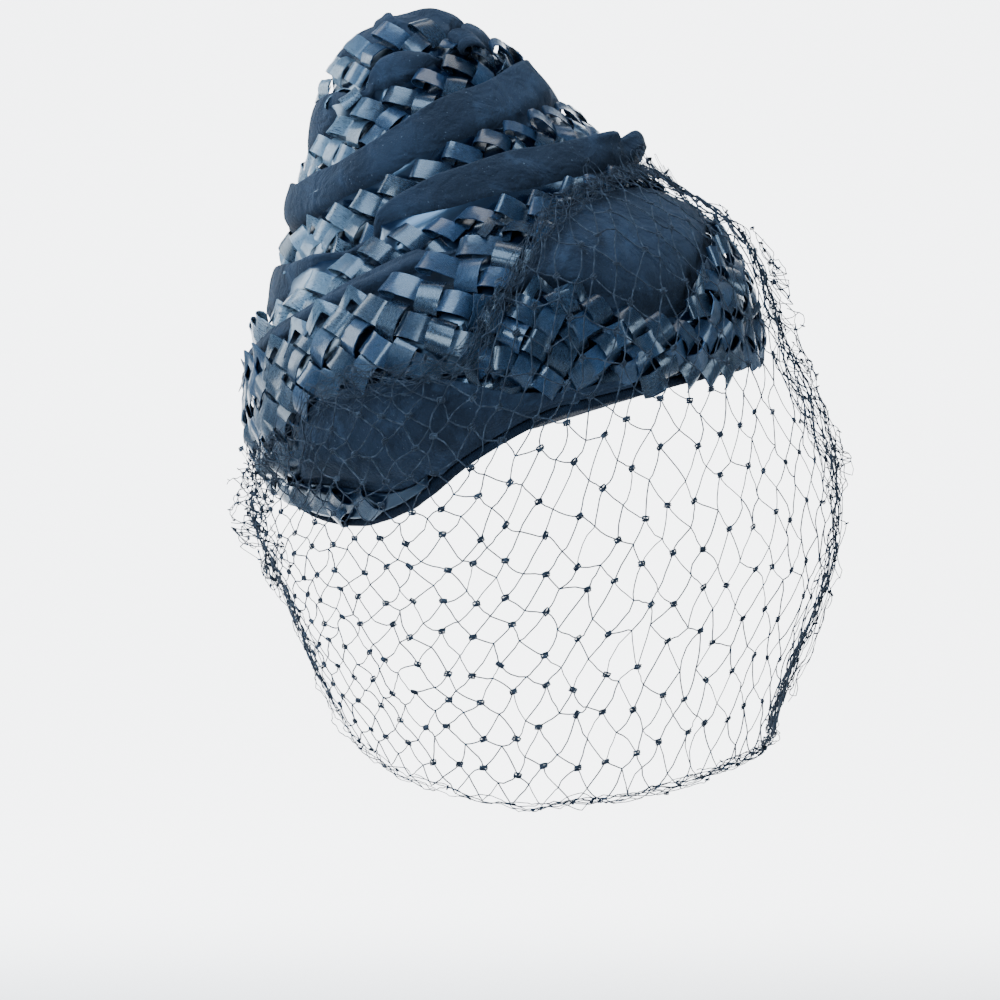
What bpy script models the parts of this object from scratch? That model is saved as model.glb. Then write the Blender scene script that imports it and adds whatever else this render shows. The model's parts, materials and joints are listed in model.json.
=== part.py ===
"""A tall turban hat: cloth and plaited straw wound in turns up a cone, over a draped brim, with a net veil.

Every wound piece laps over the lower edge of the piece above it, as the courses of an upturned roof would.
The hat is drawn about its own upright axis, and one empty leans it to the side, as it is worn.
The origin is the middle of the head opening. Metres, +Z up, and the wearer faces -Y.
"""

import math
from collections import namedtuple

import bmesh
import bpy
from mathutils import Matrix, Vector

# Overall sizes of the hat, about its own axis
HAT_HEIGHT = 0.184
HAT_WIDTH = 0.216
HAT_DEPTH = 0.246
BRIM_HEIGHT = 0.080
HAT_LEAN = math.radians(17.0)

# The head opening and the cloth facing that turns in to it
OPENING_WIDTH = 0.156
OPENING_DEPTH = 0.190
HEADBAND_HEIGHT = 0.026
RIM_ROLL = 0.0035
RIM_TUCK = 0.0049
FACING_WALL = 0.0020

# The walls of the wound pieces and how they lap
CLOTH_WALL = 0.0025
STRAW_WALL = 0.0018
LAYER_GAP = 0.0005
LAP = 0.0040
LAP_SHARE = 0.35
END_SHOW = 0.0010
LEAST_WIDTH = 0.0030
FULL_SHOW = 0.0060
RISE = 0.0025

# The turns that climb the crown, and the foot of the cap that closes it
TURN_PITCH = 0.0285
FIRST_CLOTH_TOP = 0.90 * BRIM_HEIGHT
CAP_BASE = 0.935 * HAT_HEIGHT
STRAW_SHOW = 0.0115
TOP_STRAW_SHOW = 0.0165
CROWN_SKEW = 0.0055
CLOTH_FLARE = 0.0075
FLARE_DROP = 0.5
CLOTH_BELLY = 0.0026

# Relief of the plaits
TOOTH = 0.0022
TIGHT_FROM = 560.0
RIB = 0.0010

# Folds of the cap
TIP_FOLD = 0.0022
TIP_FOLDS = 5
FOLD_SWIRL = 150.0

# The veil, its gathered heading and its drawn hem
NET_STRAND = 0.0011
NET_COLUMNS = 11
NET_ROWS = 5
NET_STAND_OFF = 0.0052
SHOULDER_STAND_OFF = 0.0036
CHORD_SAG = 0.0020
HEADING_THICKNESS = 0.0036
HEM_THICKNESS = 0.0028
VEIL_REACH = 0.118
VEIL_DROP = 0.137
NET_TURN = 0.20 * BRIM_HEIGHT
HIGH_HEADING = 0.50 * BRIM_HEIGHT

# The wraps follow a ring of flat facets, so neighbours keep their gap between the ring's planes
PLANES = 30
PLANE_STEP = 360.0 / PLANES

TUCK = CLOTH_WALL + LAYER_GAP
HEADING_OFFSET = CLOTH_BELLY + LAYER_GAP + HEADING_THICKNESS / 2
CLOTH = "cloth"
STRAW = "straw"

# Outline of the hat: shares of HAT_HEIGHT, HAT_WIDTH and HAT_DEPTH
Outline = namedtuple("Outline", "height width depth")
OUTLINE = (
    Outline(-0.13, 0.83, 0.84),
    Outline(0.00, 0.94, 0.94),
    Outline(0.11, 0.99, 0.99),
    Outline(0.21, 0.98, 0.98),
    Outline(0.30, 0.94, 0.93),
    Outline(0.36, 0.88, 0.865),
    Outline(0.41, 0.81, 0.785),
    Outline(0.455, 0.75, 0.72),
    Outline(0.53, 0.665, 0.63),
    Outline(0.60, 0.60, 0.57),
    Outline(0.68, 0.515, 0.485),
    Outline(0.76, 0.435, 0.405),
    Outline(0.825, 0.38, 0.35),
    Outline(0.885, 0.315, 0.285),
    Outline(0.935, 0.24, 0.215),
    Outline(0.973, 0.14, 0.125),
    Outline(1.00, 0.0, 0.0),
)

# Tables of the brim: azimuth in degrees from the front, towards the wearer's left, which is +X, and the
# height of a top edge as a share of BRIM_HEIGHT. A winding past 180 goes on round the back.
Edge = namedtuple("Edge", "azimuth height")
RIM = (
    Edge(-180, 0.12), Edge(-120, 0.14), Edge(-84, 0.13), Edge(-72, 0.05), Edge(-60, -0.09),
    Edge(-45, -0.17), Edge(-30, -0.15), Edge(-12, -0.03), Edge(6, 0.05), Edge(24, 0.04), Edge(60, 0.03),
    Edge(90, 0.07), Edge(120, 0.10), Edge(180, 0.12),
)
LEFT_BAND_TOP = (
    Edge(-60, 0.12), Edge(-48, 0.34), Edge(-36, 0.40), Edge(-24, 0.37), Edge(-12, 0.30), Edge(0, 0.15),
    Edge(12, 0.08), Edge(24, 0.04),
)
RIGHT_BAND_TOP = (
    Edge(0, 0.585), Edge(12, 0.74), Edge(24, 0.89), Edge(36, 0.95), Edge(48, 0.965), Edge(60, 0.965),
    Edge(72, 0.94), Edge(84, 0.89), Edge(96, 0.84),
)
LOWER_PLAIT_TOP = (
    Edge(-12, 0.31), Edge(0, 0.58), Edge(12, 0.58), Edge(24, 0.44), Edge(36, 0.30), Edge(48, 0.25),
    Edge(72, 0.22), Edge(120, 0.32), Edge(180, 0.38), Edge(240, 0.33), Edge(276, 0.24), Edge(300, 0.10),
    Edge(312, 0.03), Edge(324, -0.08), Edge(336, -0.12),
)
UPPER_PLAIT_TOP = (
    Edge(-324, 0.30), Edge(-312, 0.46), Edge(-300, 0.60), Edge(-282, 0.74), Edge(-264, 0.80),
    Edge(-220, 0.82), Edge(-180, 0.80), Edge(-120, 0.76), Edge(-84, 0.74), Edge(-60, 0.74),
    Edge(-48, 0.77), Edge(-36, 0.81), Edge(-24, 0.81), Edge(-12, 0.85), Edge(0, 0.90), Edge(12, 0.95),
    Edge(24, 0.98), Edge(36, 0.955),
)
BASE_FOLD_TOP = (
    Edge(-144, 0.81), Edge(-120, 0.84), Edge(-72, 0.84), Edge(-48, 0.86), Edge(-36, 0.895),
    Edge(-24, 0.91), Edge(-12, 0.93), Edge(0, 0.905),
)
HEADING_LINE = (
    Edge(-72, 0.28), Edge(-60, 0.26), Edge(-48, 0.30), Edge(-39, 0.40), Edge(-25, 0.385),
    Edge(-11, 0.34), Edge(-4, 0.41), Edge(2, 0.54), Edge(10, 0.70), Edge(20, 0.86), Edge(36, 0.97),
    Edge(54, 1.02), Edge(72, 1.02), Edge(90, 0.94),
)

# The hanging net at each azimuth: how far its belly and its hem reach from the origin, as shares of
# VEIL_REACH, and how deep they lie below it, as shares of VEIL_DROP
Drop = namedtuple("Drop", "azimuth belly_reach belly_depth hem_reach hem_depth")
DROPS = (
    Drop(-78, 0.97, 0.20, 0.74, 0.62),
    Drop(-54, 0.97, 0.32, 0.76, 0.80),
    Drop(-28, 1.00, 0.36, 0.84, 0.93),
    Drop(0, 1.06, 0.36, 0.93, 1.00),
    Drop(28, 1.04, 0.32, 0.90, 0.97),
    Drop(56, 1.06, 0.26, 0.90, 0.91),
    Drop(84, 1.12, 0.16, 0.87, 0.86),
)


def along(rows, at, column):
    """Value of a table's column at this place in its first column, on a smooth curve through the rows."""
    if at <= rows[0][0]:
        return rows[0][column]
    if at >= rows[-1][0]:
        return rows[-1][column]
    index = next(i for i in range(len(rows) - 1) if rows[i + 1][0] >= at)
    low, high = rows[index], rows[index + 1]
    span = high[0] - low[0]

    def slope(i):
        before, after = rows[max(i - 1, 0)], rows[min(i + 1, len(rows) - 1)]
        return (after[column] - before[column]) / (after[0] - before[0])

    t = (at - low[0]) / span
    rise = high[column] - low[column]
    start, end = slope(index) * span, slope(index + 1) * span
    limit = 3.0 * abs(rise)
    start = max(-limit, min(limit, start)) if start * rise > 0 else 0.0
    end = max(-limit, min(limit, end)) if end * rise > 0 else 0.0
    return (low[column] * (1 + 2 * t) * (1 - t) ** 2 + start * t * (1 - t) ** 2
            + high[column] * t * t * (3 - 2 * t) - end * t * t * (1 - t))


def blend_in(value, start, end):
    """Smooth step from 0 at start to 1 at end."""
    t = max(0.0, min(1.0, (value - start) / (end - start)))
    return t * t * (3 - 2 * t)


def rim_height(azimuth):
    """Height of the hat's lower edge."""
    turned = (azimuth + 180.0) % 360.0 - 180.0
    return along(RIM, turned, 1) * BRIM_HEIGHT


def plane_point(azimuth, height, offset):
    """Point of the hat's outline at this height, moved out along the outline's normal."""
    share = height / HAT_HEIGHT
    nudge = 0.01
    width = along(OUTLINE, share, 1) * HAT_WIDTH / 2
    depth = along(OUTLINE, share, 2) * HAT_DEPTH / 2
    fall = (along(OUTLINE, share - nudge, 1) - along(OUTLINE, share + nudge, 1)) * HAT_WIDTH / 2
    steep = math.hypot(fall, 2 * nudge * HAT_HEIGHT)
    out, up = 2 * nudge * HAT_HEIGHT / steep, fall / steep
    a = math.radians(azimuth)
    across = max(width + offset * out, 0.0) * math.sin(a)
    ahead = max(depth + offset * out, 0.0) * math.cos(a)
    return Vector((across, -ahead, height + offset * up))


def wrap_point(azimuth, height, offset):
    """The same point on the faceted ring, which is straight between two planes."""
    place = azimuth / PLANE_STEP
    before = math.floor(place + 1e-6)
    share = place - before
    near = plane_point(before * PLANE_STEP, height, offset)
    if share < 1e-3:
        return near
    return near.lerp(plane_point((before + 1) * PLANE_STEP, height, offset), share)


def leaned(point):
    """A point of the upright hat, as it stands once the hat leans."""
    return Matrix.Rotation(-HAT_LEAN, 3, "Y") @ point


def skew(azimuth, height):
    """How far the crown's turns rise on the wearer's left and sink on the right."""
    settled = blend_in(height, BRIM_HEIGHT, BRIM_HEIGHT + 2 * TURN_PITCH)
    return CROWN_SKEW * settled * math.sin(math.radians(azimuth))


def cloth_turn_top(winding):
    """Height of the crown band's upper edge."""
    height = FIRST_CLOTH_TOP + TURN_PITCH * winding / 360.0
    return height + skew(winding, height)


def straw_turn_top(winding):
    """Height of the crown plait's upper edge: it shows more of itself as it nears the tip."""
    show = STRAW_SHOW + (TOP_STRAW_SHOW - STRAW_SHOW) * blend_in(winding, 400, 680)
    return min(cloth_turn_top(winding) + show, CAP_BASE + skew(winding, CAP_BASE))


def edge_top(rows):
    """A function that gives the height of a brim piece's top edge at a winding."""
    return lambda winding: along(rows, winding, 1) * BRIM_HEIGHT


# One wound piece: its matter, its first and last plane, and its top edge at a winding in degrees
Wrap = namedtuple("Wrap", "name matter first last top ribs")
WRAPS = (
    Wrap("brim_left_band", CLOTH, -5, 2, edge_top(LEFT_BAND_TOP), 2),
    Wrap("brim_right_band", CLOTH, 0, 8, edge_top(RIGHT_BAND_TOP), 2),
    Wrap("brim_lower_plait", STRAW, -1, 28, edge_top(LOWER_PLAIT_TOP), 3),
    Wrap("brim_upper_plait", STRAW, -27, 3, edge_top(UPPER_PLAIT_TOP), 3),
    Wrap("base_fold", CLOTH, -12, 0, edge_top(BASE_FOLD_TOP), 1),
    Wrap("crown_band", CLOTH, 6, 102, cloth_turn_top, 1),
    Wrap("crown_plait", STRAW, -10, 96, straw_turn_top, 1),
)

WRAP_OF = {wrap.name: wrap for wrap in WRAPS}
FLARED = "crown_band"

# Where one wrap lies in one plane: the heights of its hidden lower edge, of the place where it comes out
# from under the wrap below, and of its top edge. Its offset goes from root through floor to level.
Span = namedtuple("Span", "low cover top root floor level")


def spans_in_plane(plane):
    """The wraps that cross one of the ring's planes, from the rim up, each lapped by the one below it."""
    crossing = []
    for wrap in WRAPS:
        turn = plane
        while turn > wrap.first:
            turn -= PLANES
        while turn <= wrap.last:
            if turn >= wrap.first:
                at_end = turn in (wrap.first, wrap.last)
                crossing.append((wrap.top(turn * PLANE_STEP), wrap.name, turn, at_end))
            turn += PLANES
    rim = rim_height(plane * PLANE_STEP)
    (lowest_top, name, turn, _), *others = sorted(crossing)
    below = Span(rim, rim + LEAST_WIDTH / 3, max(lowest_top, rim + LEAST_WIDTH), 0.0, 0.0, 0.0)
    name_below, turn_below = name, turn
    spans = {(name, turn): below}
    for top, name, turn, at_end in others:
        low, root = hold_of(below, name_below, turn_below)
        cover, floor = below.top + LAYER_GAP, below.level - TUCK
        show = 0.0 if at_end else min(1.0, (top - below.top) / FULL_SHOW)
        top = below.top + END_SHOW if at_end else max(top, below.top + LEAST_WIDTH)
        below = Span(max(low, rim), cover, top, root, floor, floor * (1 - show))
        name_below, turn_below = name, turn
        spans[name, turn] = below
    low, root = hold_of(below, name_below, turn_below)
    return spans, Span(low, below.top + LAYER_GAP, HAT_HEIGHT, root, below.level - TUCK, 0.0)


def hold_of(below, name, turn):
    """Where the next wrap's hidden edge lies behind this one: its height and its offset."""
    flare = crown_flare(turn * PLANE_STEP) if name == FLARED else 0.0
    if flare > 0.0:
        height, offset = cloth_rows(below, WRAP_OF[name].ribs, flare)[-2]
        return height, offset - TUCK
    return below.top - min(LAP, LAP_SHARE * (below.top - below.cover)), below.level - TUCK


def all_spans():
    """Every wrap's span at each of its windings, and the span of the crown's cap in each plane."""
    spans, cap_spans = {}, []
    for plane in range(PLANES):
        found, cap = spans_in_plane(plane)
        spans.update(found)
        cap_spans.append(cap)
    return spans, cap_spans


def between(first, second):
    """The span halfway between two planes."""
    return Span(*((a + b) / 2 for a, b in zip(first, second)))


def section(azimuth, outer, inner, wall):
    """A closed section: the outer points from the foot up, then the inner ones, a wall deeper, back down."""
    face = [wrap_point(azimuth, height, offset) for height, offset in outer]
    back = [wrap_point(azimuth, height, offset - wall) for height, offset in inner]
    return face + back[::-1]


def straw_section(azimuth, span, ribs):
    """A plait's closed section: tucked in at the foot, then ribbed along its rows, and smooth inside."""
    foot = min(span.cover + RISE, (span.cover + span.top) / 2)
    outer = [(span.low, span.root), (span.cover, span.floor)]
    count = 2 * ribs
    for k in range(1, count + 1):
        height = foot + (span.top - foot) * k / count
        outer.append((height, span.level + RIB * (k % 2)))
    inner = outer[:2] + [(outer[k][0], span.level) for k in sorted({2, ribs + 1, count + 1})]
    return section(azimuth, outer, inner, STRAW_WALL)


def cloth_rows(span, ribs, flare):
    """Heights and offsets of a cloth band's face: it swells, and its upper edge stands away by flare."""
    rows = [(span.low, span.root), (span.cover, span.floor)]
    count = ribs + 2
    shown = min(1.0, (span.top - span.cover) / FULL_SHOW)
    for k in range(1, count + 1):
        share = k / count
        height = span.cover + (span.top - span.cover) * share
        lean_out = flare * blend_in(share, 0.0, 0.85) * shown
        swell = CLOTH_BELLY * math.sin(math.pi * min(share, 0.8)) * shown
        rows.append((height - FLARE_DROP * lean_out, span.level + swell + lean_out))
    return rows


def cloth_section(azimuth, span, ribs, flare):
    """A cloth band's closed section, of one thickness."""
    rows = cloth_rows(span, ribs, flare)
    return section(azimuth, rows, rows, CLOTH_WALL)


def crown_flare(winding):
    """The crown's band stands away from the straw only once it has left the brim, and less at the tip."""
    wave = 0.8 + 0.2 * math.cos(math.radians(2.0 * winding + 20.0))
    return CLOTH_FLARE * blend_in(winding, 84, 150) * (1 - 0.75 * blend_in(winding, 960, 1180)) * wave


def loft(name, sections, closed=False):
    """A closed skin through sections of equal length, with flat ends unless it is a ring."""
    shape = bmesh.new()
    rings = [[shape.verts.new(point) for point in section] for section in sections]
    pairs = list(zip(rings, rings[1:] + rings[:1])) if closed else list(zip(rings, rings[1:]))
    count = len(sections[0])
    for first, second in pairs:
        for i in range(count):
            j = (i + 1) % count
            shape.faces.new((first[i], first[j], second[j], second[i]))
    if not closed:
        shape.faces.new(rings[0][::-1])
        shape.faces.new(rings[-1])
    return finished(name, shape)


def finished(name, shape):
    """A mesh object with its faces pointing out."""
    bmesh.ops.recalc_face_normals(shape, faces=shape.faces)
    mesh = bpy.data.meshes.new(name)
    shape.to_mesh(mesh)
    shape.free()
    piece = bpy.data.objects.new(name, mesh)
    bpy.context.scene.collection.objects.link(piece)
    return piece


def wound_piece(wrap, spans):
    """One wrap as a wall along its windings. A plait has a tooth at each plane, or every second near the tip."""
    sections = []
    for turn in range(wrap.first, wrap.last + 1):
        winding = turn * PLANE_STEP
        span = spans[wrap.name, turn]
        if wrap.matter == CLOTH:
            flare = crown_flare(winding) if wrap.name == FLARED else 0.0
            sections.append(cloth_section(winding, span, wrap.ribs, flare))
            continue
        tight = winding > TIGHT_FROM
        if tight and turn % 2:
            span = span._replace(top=span.top - min(TOOTH, (span.top - span.cover) / 3))
        sections.append(straw_section(winding, span, wrap.ribs))
        if turn < wrap.last and not tight:
            middle = between(span, spans[wrap.name, turn + 1])
            tooth = min(TOOTH, (middle.top - middle.cover) / 3)
            middle = middle._replace(top=middle.top - tooth)
            sections.append(straw_section(winding + PLANE_STEP / 2, middle, wrap.ribs))
    return loft(wrap.name, sections)


def crown_cap(cap_spans):
    """The gathered cloth that closes the tip, with folds that swirl in to the top."""
    shape = bmesh.new()
    outer_rings, inner_rings = [], []
    shares = (0.0, 0.35, 0.7)
    for plane in range(PLANES):
        azimuth = plane * PLANE_STEP
        span = cap_spans[plane]
        rows = [(span.low, span.root), (span.cover, span.floor)]
        for share in shares:
            height = span.cover + RISE / 2 + (HAT_HEIGHT - span.cover) * share
            swirl = math.cos(math.radians(TIP_FOLDS * azimuth + FOLD_SWIRL * share))
            rows.append((height, TIP_FOLD * swirl * math.sin(math.pi * (share + 0.2))))
        outer_rings.append([shape.verts.new(wrap_point(azimuth, h, o)) for h, o in rows])
        inner_rings.append([shape.verts.new(wrap_point(azimuth, h, o - CLOTH_WALL)) for h, o in rows])
    top_out = shape.verts.new((0.0, 0.0, HAT_HEIGHT))
    top_in = shape.verts.new((0.0, 0.0, HAT_HEIGHT - CLOTH_WALL))
    for plane in range(PLANES):
        after = (plane + 1) % PLANES
        for rings in (outer_rings, inner_rings):
            for i in range(len(rings[0]) - 1):
                shape.faces.new((rings[plane][i], rings[after][i], rings[after][i + 1], rings[plane][i + 1]))
        shape.faces.new((outer_rings[plane][0], inner_rings[plane][0], inner_rings[after][0], outer_rings[after][0]))
        shape.faces.new((outer_rings[plane][-1], outer_rings[after][-1], top_out))
        shape.faces.new((inner_rings[plane][-1], top_in, inner_rings[after][-1]))
    return finished("crown_cap", shape)


def opening_point(azimuth, height, out):
    """Point on the edge of the head opening, moved away from the axis."""
    place = azimuth / PLANE_STEP
    before = math.floor(place + 1e-6)
    ends = []
    for plane in (before, before + 1):
        a = math.radians(plane * PLANE_STEP)
        across, ahead = OPENING_WIDTH / 2 + out, OPENING_DEPTH / 2 + out
        ends.append(Vector((across * math.sin(a), -ahead * math.cos(a), height)))
    return ends[0].lerp(ends[1], place - before)


def rim_facing():
    """The cloth facing: hidden behind the brim, rolled round the rim, then up inside as the headband."""
    hidden = -2 * TUCK - LAYER_GAP
    sections = []
    for plane in range(PLANES):
        azimuth = plane * PLANE_STEP
        rim = rim_height(azimuth)
        below = rim - RIM_ROLL
        skin = [
            wrap_point(azimuth, rim + RIM_TUCK, hidden),
            wrap_point(azimuth, rim - LAYER_GAP, hidden),
            wrap_point(azimuth, rim - LAYER_GAP, -0.1 * RIM_ROLL),
            wrap_point(azimuth, below + 0.3 * RIM_ROLL, 0.0),
            wrap_point(azimuth, below, -0.8 * RIM_ROLL),
            opening_point(azimuth, rim - 0.2 * RIM_ROLL, RIM_ROLL),
            opening_point(azimuth, rim + RIM_ROLL, 0.0),
            opening_point(azimuth, rim + HEADBAND_HEIGHT, 0.0),
        ]
        lining = [
            opening_point(azimuth, rim + HEADBAND_HEIGHT, FACING_WALL),
            opening_point(azimuth, rim + RIM_ROLL, FACING_WALL),
            opening_point(azimuth, rim - 0.2 * RIM_ROLL + FACING_WALL, RIM_ROLL + 0.3 * FACING_WALL),
            wrap_point(azimuth, below + FACING_WALL, hidden - FACING_WALL),
            wrap_point(azimuth, rim + RIM_TUCK, hidden - FACING_WALL),
        ]
        sections.append(skin + lining)
    return loft("rim_facing", sections, closed=True)


def heading_height(azimuth):
    """Height of the net's gathered heading on the hat."""
    return along(HEADING_LINE, azimuth, 1) * BRIM_HEIGHT


def tube(name, points, thickness):
    """A closed round bundle along a line of points."""
    curve = bpy.data.curves.new(name, "CURVE")
    curve.dimensions = "3D"
    curve.bevel_depth = thickness / 2
    curve.bevel_resolution = 1
    curve.use_fill_caps = True
    line = curve.splines.new("POLY")
    line.points.add(len(points) - 1)
    for place, point in zip(line.points, points):
        place.co = (*point, 1.0)
    piece = bpy.data.objects.new(name, curve)
    bpy.context.scene.collection.objects.link(piece)
    return piece


def veil_heading():
    """The net's gathered top edge, laid across the brim from the right side up to the left shoulder."""
    first, last = HEADING_LINE[0].azimuth, HEADING_LINE[-1].azimuth
    count = 30
    points = []
    for k in range(count + 1):
        azimuth = first + (last - first) * k / count
        points.append(leaned(wrap_point(azimuth, heading_height(azimuth), HEADING_OFFSET)))
    return tube("veil_heading", points, HEADING_THICKNESS)


def net_point(across, down):
    """A point of the veil, from 0 to 1 across its width and from 0 at the heading to 1 at the hem."""
    first, last = DROPS[0].azimuth, DROPS[-1].azimuth
    azimuth = first + (last - first) * across
    stand_off = NET_STAND_OFF + SHOULDER_STAND_OFF * blend_in(azimuth, 10, 40)
    head = heading_height(azimuth)
    top = leaned(wrap_point(azimuth, head, HEADING_OFFSET + HEADING_THICKNESS / 2 + NET_STRAND + CHORD_SAG))
    brim = leaned(wrap_point(azimuth, min(NET_TURN, head - 2 * HEADING_THICKNESS), stand_off))
    a = math.radians(azimuth)
    out = Vector((math.sin(a), -math.cos(a), 0.0))
    belly = out * along(DROPS, azimuth, 1) * VEIL_REACH
    belly.z = -along(DROPS, azimuth, 2) * VEIL_DROP
    hem = out * along(DROPS, azimuth, 3) * VEIL_REACH
    hem.z = -along(DROPS, azimuth, 4) * VEIL_DROP
    line = [top, brim, belly, hem]
    if head > HIGH_HEADING:
        line.insert(1, leaned(wrap_point(azimuth, (head + NET_TURN) / 2, stand_off)))
    lengths = [0.0]
    for a_point, b_point in zip(line, line[1:]):
        lengths.append(lengths[-1] + (b_point - a_point).length)
    rows = [(length, *point) for length, point in zip(lengths, line)]
    at = down * lengths[-1]
    return Vector(along(rows, at, axis) for axis in (1, 2, 3))


def net_vertex(column, row):
    """The corner of the net's diamonds at this column and row, counted in half diamonds."""
    return net_point(column / (2 * NET_COLUMNS), row / (2 * NET_ROWS))


def veil_net():
    """The coarse net: a mesh of diamonds, turned into strands that meet at each corner."""
    shape = bmesh.new()
    corners = {}

    def corner(column, row):
        if (column, row) not in corners:
            corners[column, row] = shape.verts.new(net_vertex(column, row))
        return corners[column, row]

    for column in range(2 * NET_COLUMNS + 1):
        for row in range(2 * NET_ROWS + 1):
            if (column + row) % 2 == 0:
                continue
            around = ((column - 1, row), (column, row + 1), (column + 1, row), (column, row - 1))
            kept = [(c, r) for c, r in around if 0 <= c <= 2 * NET_COLUMNS and 0 <= r <= 2 * NET_ROWS]
            if len(kept) >= 3:
                shape.faces.new([corner(c, r) for c, r in kept])
    piece = finished("veil_net", shape)
    strands = piece.modifiers.new("strands", "WIREFRAME")
    strands.thickness = NET_STRAND
    strands.use_boundary = True
    strands.use_even_offset = True
    strands.use_replace = True
    return piece


def veil_hem():
    """The drawn edge of the net: down one side, round below the face and up the other side."""
    away = NET_STRAND / 2 + HEM_THICKNESS / 2 + 2 * LAYER_GAP
    last_column, last_row = 2 * NET_COLUMNS, 2 * NET_ROWS
    first_row = 4
    path = [(0, row) for row in range(first_row, last_row, 2)]
    path += [(column, last_row) for column in range(0, last_column + 1, 2)]
    path += [(last_column, row) for row in range(last_row - 2, first_row - 1, -2)]
    points = []
    for column, row in path:
        point = net_vertex(column, row)
        if row == last_row:
            point.z -= away
        if column in (0, last_column):
            side = net_vertex(column, row) - net_vertex(column + (2 if column == 0 else -2), row)
            point += Vector((side.x, side.y, 0.0)).normalized() * away
        points.append(point)
    return tube("veil_hem", points, HEM_THICKNESS)


def material(name, colour, roughness, metallic=0.0):
    """A plain finish that tells the matters apart."""
    made = bpy.data.materials.new(name)
    made.use_nodes = True
    shader = made.node_tree.nodes["Principled BSDF"]
    shader.inputs["Base Color"].default_value = (*colour, 1.0)
    shader.inputs["Roughness"].default_value = roughness
    shader.inputs["Metallic"].default_value = metallic
    return made


def main():
    for thing in list(bpy.data.objects):
        bpy.data.objects.remove(thing)
    cloth = material("black_cloth", (0.020, 0.024, 0.032), 0.85)
    straw = material("black_straw", (0.018, 0.022, 0.030), 0.32)
    net = material("black_net", (0.012, 0.013, 0.017), 0.7)
    axis = bpy.data.objects.new("hat_axis", None)
    axis.rotation_euler = (0.0, -HAT_LEAN, 0.0)
    bpy.context.scene.collection.objects.link(axis)
    spans, cap_spans = all_spans()
    for wrap in WRAPS:
        piece = wound_piece(wrap, spans)
        piece.parent = axis
        piece.data.materials.append(cloth if wrap.matter == CLOTH else straw)
    for piece in (crown_cap(cap_spans), rim_facing()):
        piece.parent = axis
        piece.data.materials.append(cloth)
    for piece in (veil_heading(), veil_net(), veil_hem()):
        piece.data.materials.append(net)


main()
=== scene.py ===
"""Dresses a tall turban hat: folded cloth, plaited straw, a rolled rim, a gathered tip and a knotted veil.

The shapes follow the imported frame: the same outline, the same wraps and the same laps, only finer.
Every piece is drawn on the hat's own upright axis and then leaned, as the hat is worn.
"""

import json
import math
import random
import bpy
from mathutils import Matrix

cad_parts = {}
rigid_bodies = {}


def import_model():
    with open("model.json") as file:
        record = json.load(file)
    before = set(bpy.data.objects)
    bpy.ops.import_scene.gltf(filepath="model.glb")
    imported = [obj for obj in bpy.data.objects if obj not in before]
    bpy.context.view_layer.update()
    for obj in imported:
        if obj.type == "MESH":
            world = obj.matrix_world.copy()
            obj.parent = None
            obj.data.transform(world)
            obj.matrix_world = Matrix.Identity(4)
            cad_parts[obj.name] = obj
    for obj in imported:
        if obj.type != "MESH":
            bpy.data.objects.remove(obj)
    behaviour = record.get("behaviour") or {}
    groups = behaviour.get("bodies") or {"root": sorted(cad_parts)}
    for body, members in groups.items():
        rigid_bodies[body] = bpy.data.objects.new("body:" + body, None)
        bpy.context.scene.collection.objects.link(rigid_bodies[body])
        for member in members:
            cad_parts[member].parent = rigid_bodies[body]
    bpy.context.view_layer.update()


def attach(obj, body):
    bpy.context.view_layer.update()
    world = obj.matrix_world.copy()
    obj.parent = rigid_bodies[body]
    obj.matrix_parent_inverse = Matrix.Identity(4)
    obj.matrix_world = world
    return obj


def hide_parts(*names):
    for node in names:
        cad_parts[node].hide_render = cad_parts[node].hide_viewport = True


bl_info = {
    "name": "Turban Hat",
    "version": (1, 0, 0),
    "blender": (4, 5, 0),
    "location": "3D View > Sidebar > Turban Hat",
    "description": "Makes the cloth, the straw plaits and the veil of a turban hat, and its stage",
    "category": "Add Mesh",
}

from collections import namedtuple

import bmesh
import bpy
from bpy.props import FloatProperty, FloatVectorProperty, IntProperty, PointerProperty
from mathutils import Matrix, Quaternion, Vector, noise

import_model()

# Sizes of the hat about its own axis, as the frame has them
HAT_HEIGHT = 0.184
HAT_WIDTH = 0.216
HAT_DEPTH = 0.246
BRIM_HEIGHT = 0.080
HAT_LEAN = math.radians(17.0)
OPENING_WIDTH = 0.156
OPENING_DEPTH = 0.190
HEADBAND_HEIGHT = 0.026
RIM_ROLL = 0.0035
FACING_WALL = 0.0020
CLOTH_WALL = 0.0025
LAYER_GAP = 0.0005
LAP = 0.0040
LAP_SHARE = 0.35
END_SHOW = 0.0010
LEAST_WIDTH = 0.0030
FULL_SHOW = 0.0060
RISE = 0.0025
TURN_PITCH = 0.0285
FIRST_CLOTH_TOP = 0.90 * BRIM_HEIGHT
CAP_BASE = 0.935 * HAT_HEIGHT
STRAW_SHOW = 0.0115
TOP_STRAW_SHOW = 0.0165
CROWN_SKEW = 0.0055
CLOTH_FLARE = 0.0075
FLARE_DROP = 0.5
CLOTH_BELLY = 0.0026
HEADING_THICKNESS = 0.0036
NET_STAND_OFF = 0.0052
SHOULDER_STAND_OFF = 0.0036
VEIL_REACH = 0.118
VEIL_DROP = 0.137
PLANE_STEP = 12.0
FINE_STEP = 3.0
FINE_PLANES = 120
TUCK = CLOTH_WALL + LAYER_GAP
HEADING_OFFSET = CLOTH_BELLY + LAYER_GAP + HEADING_THICKNESS / 2
CLOTH = "cloth"
STRAW = "straw"

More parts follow.
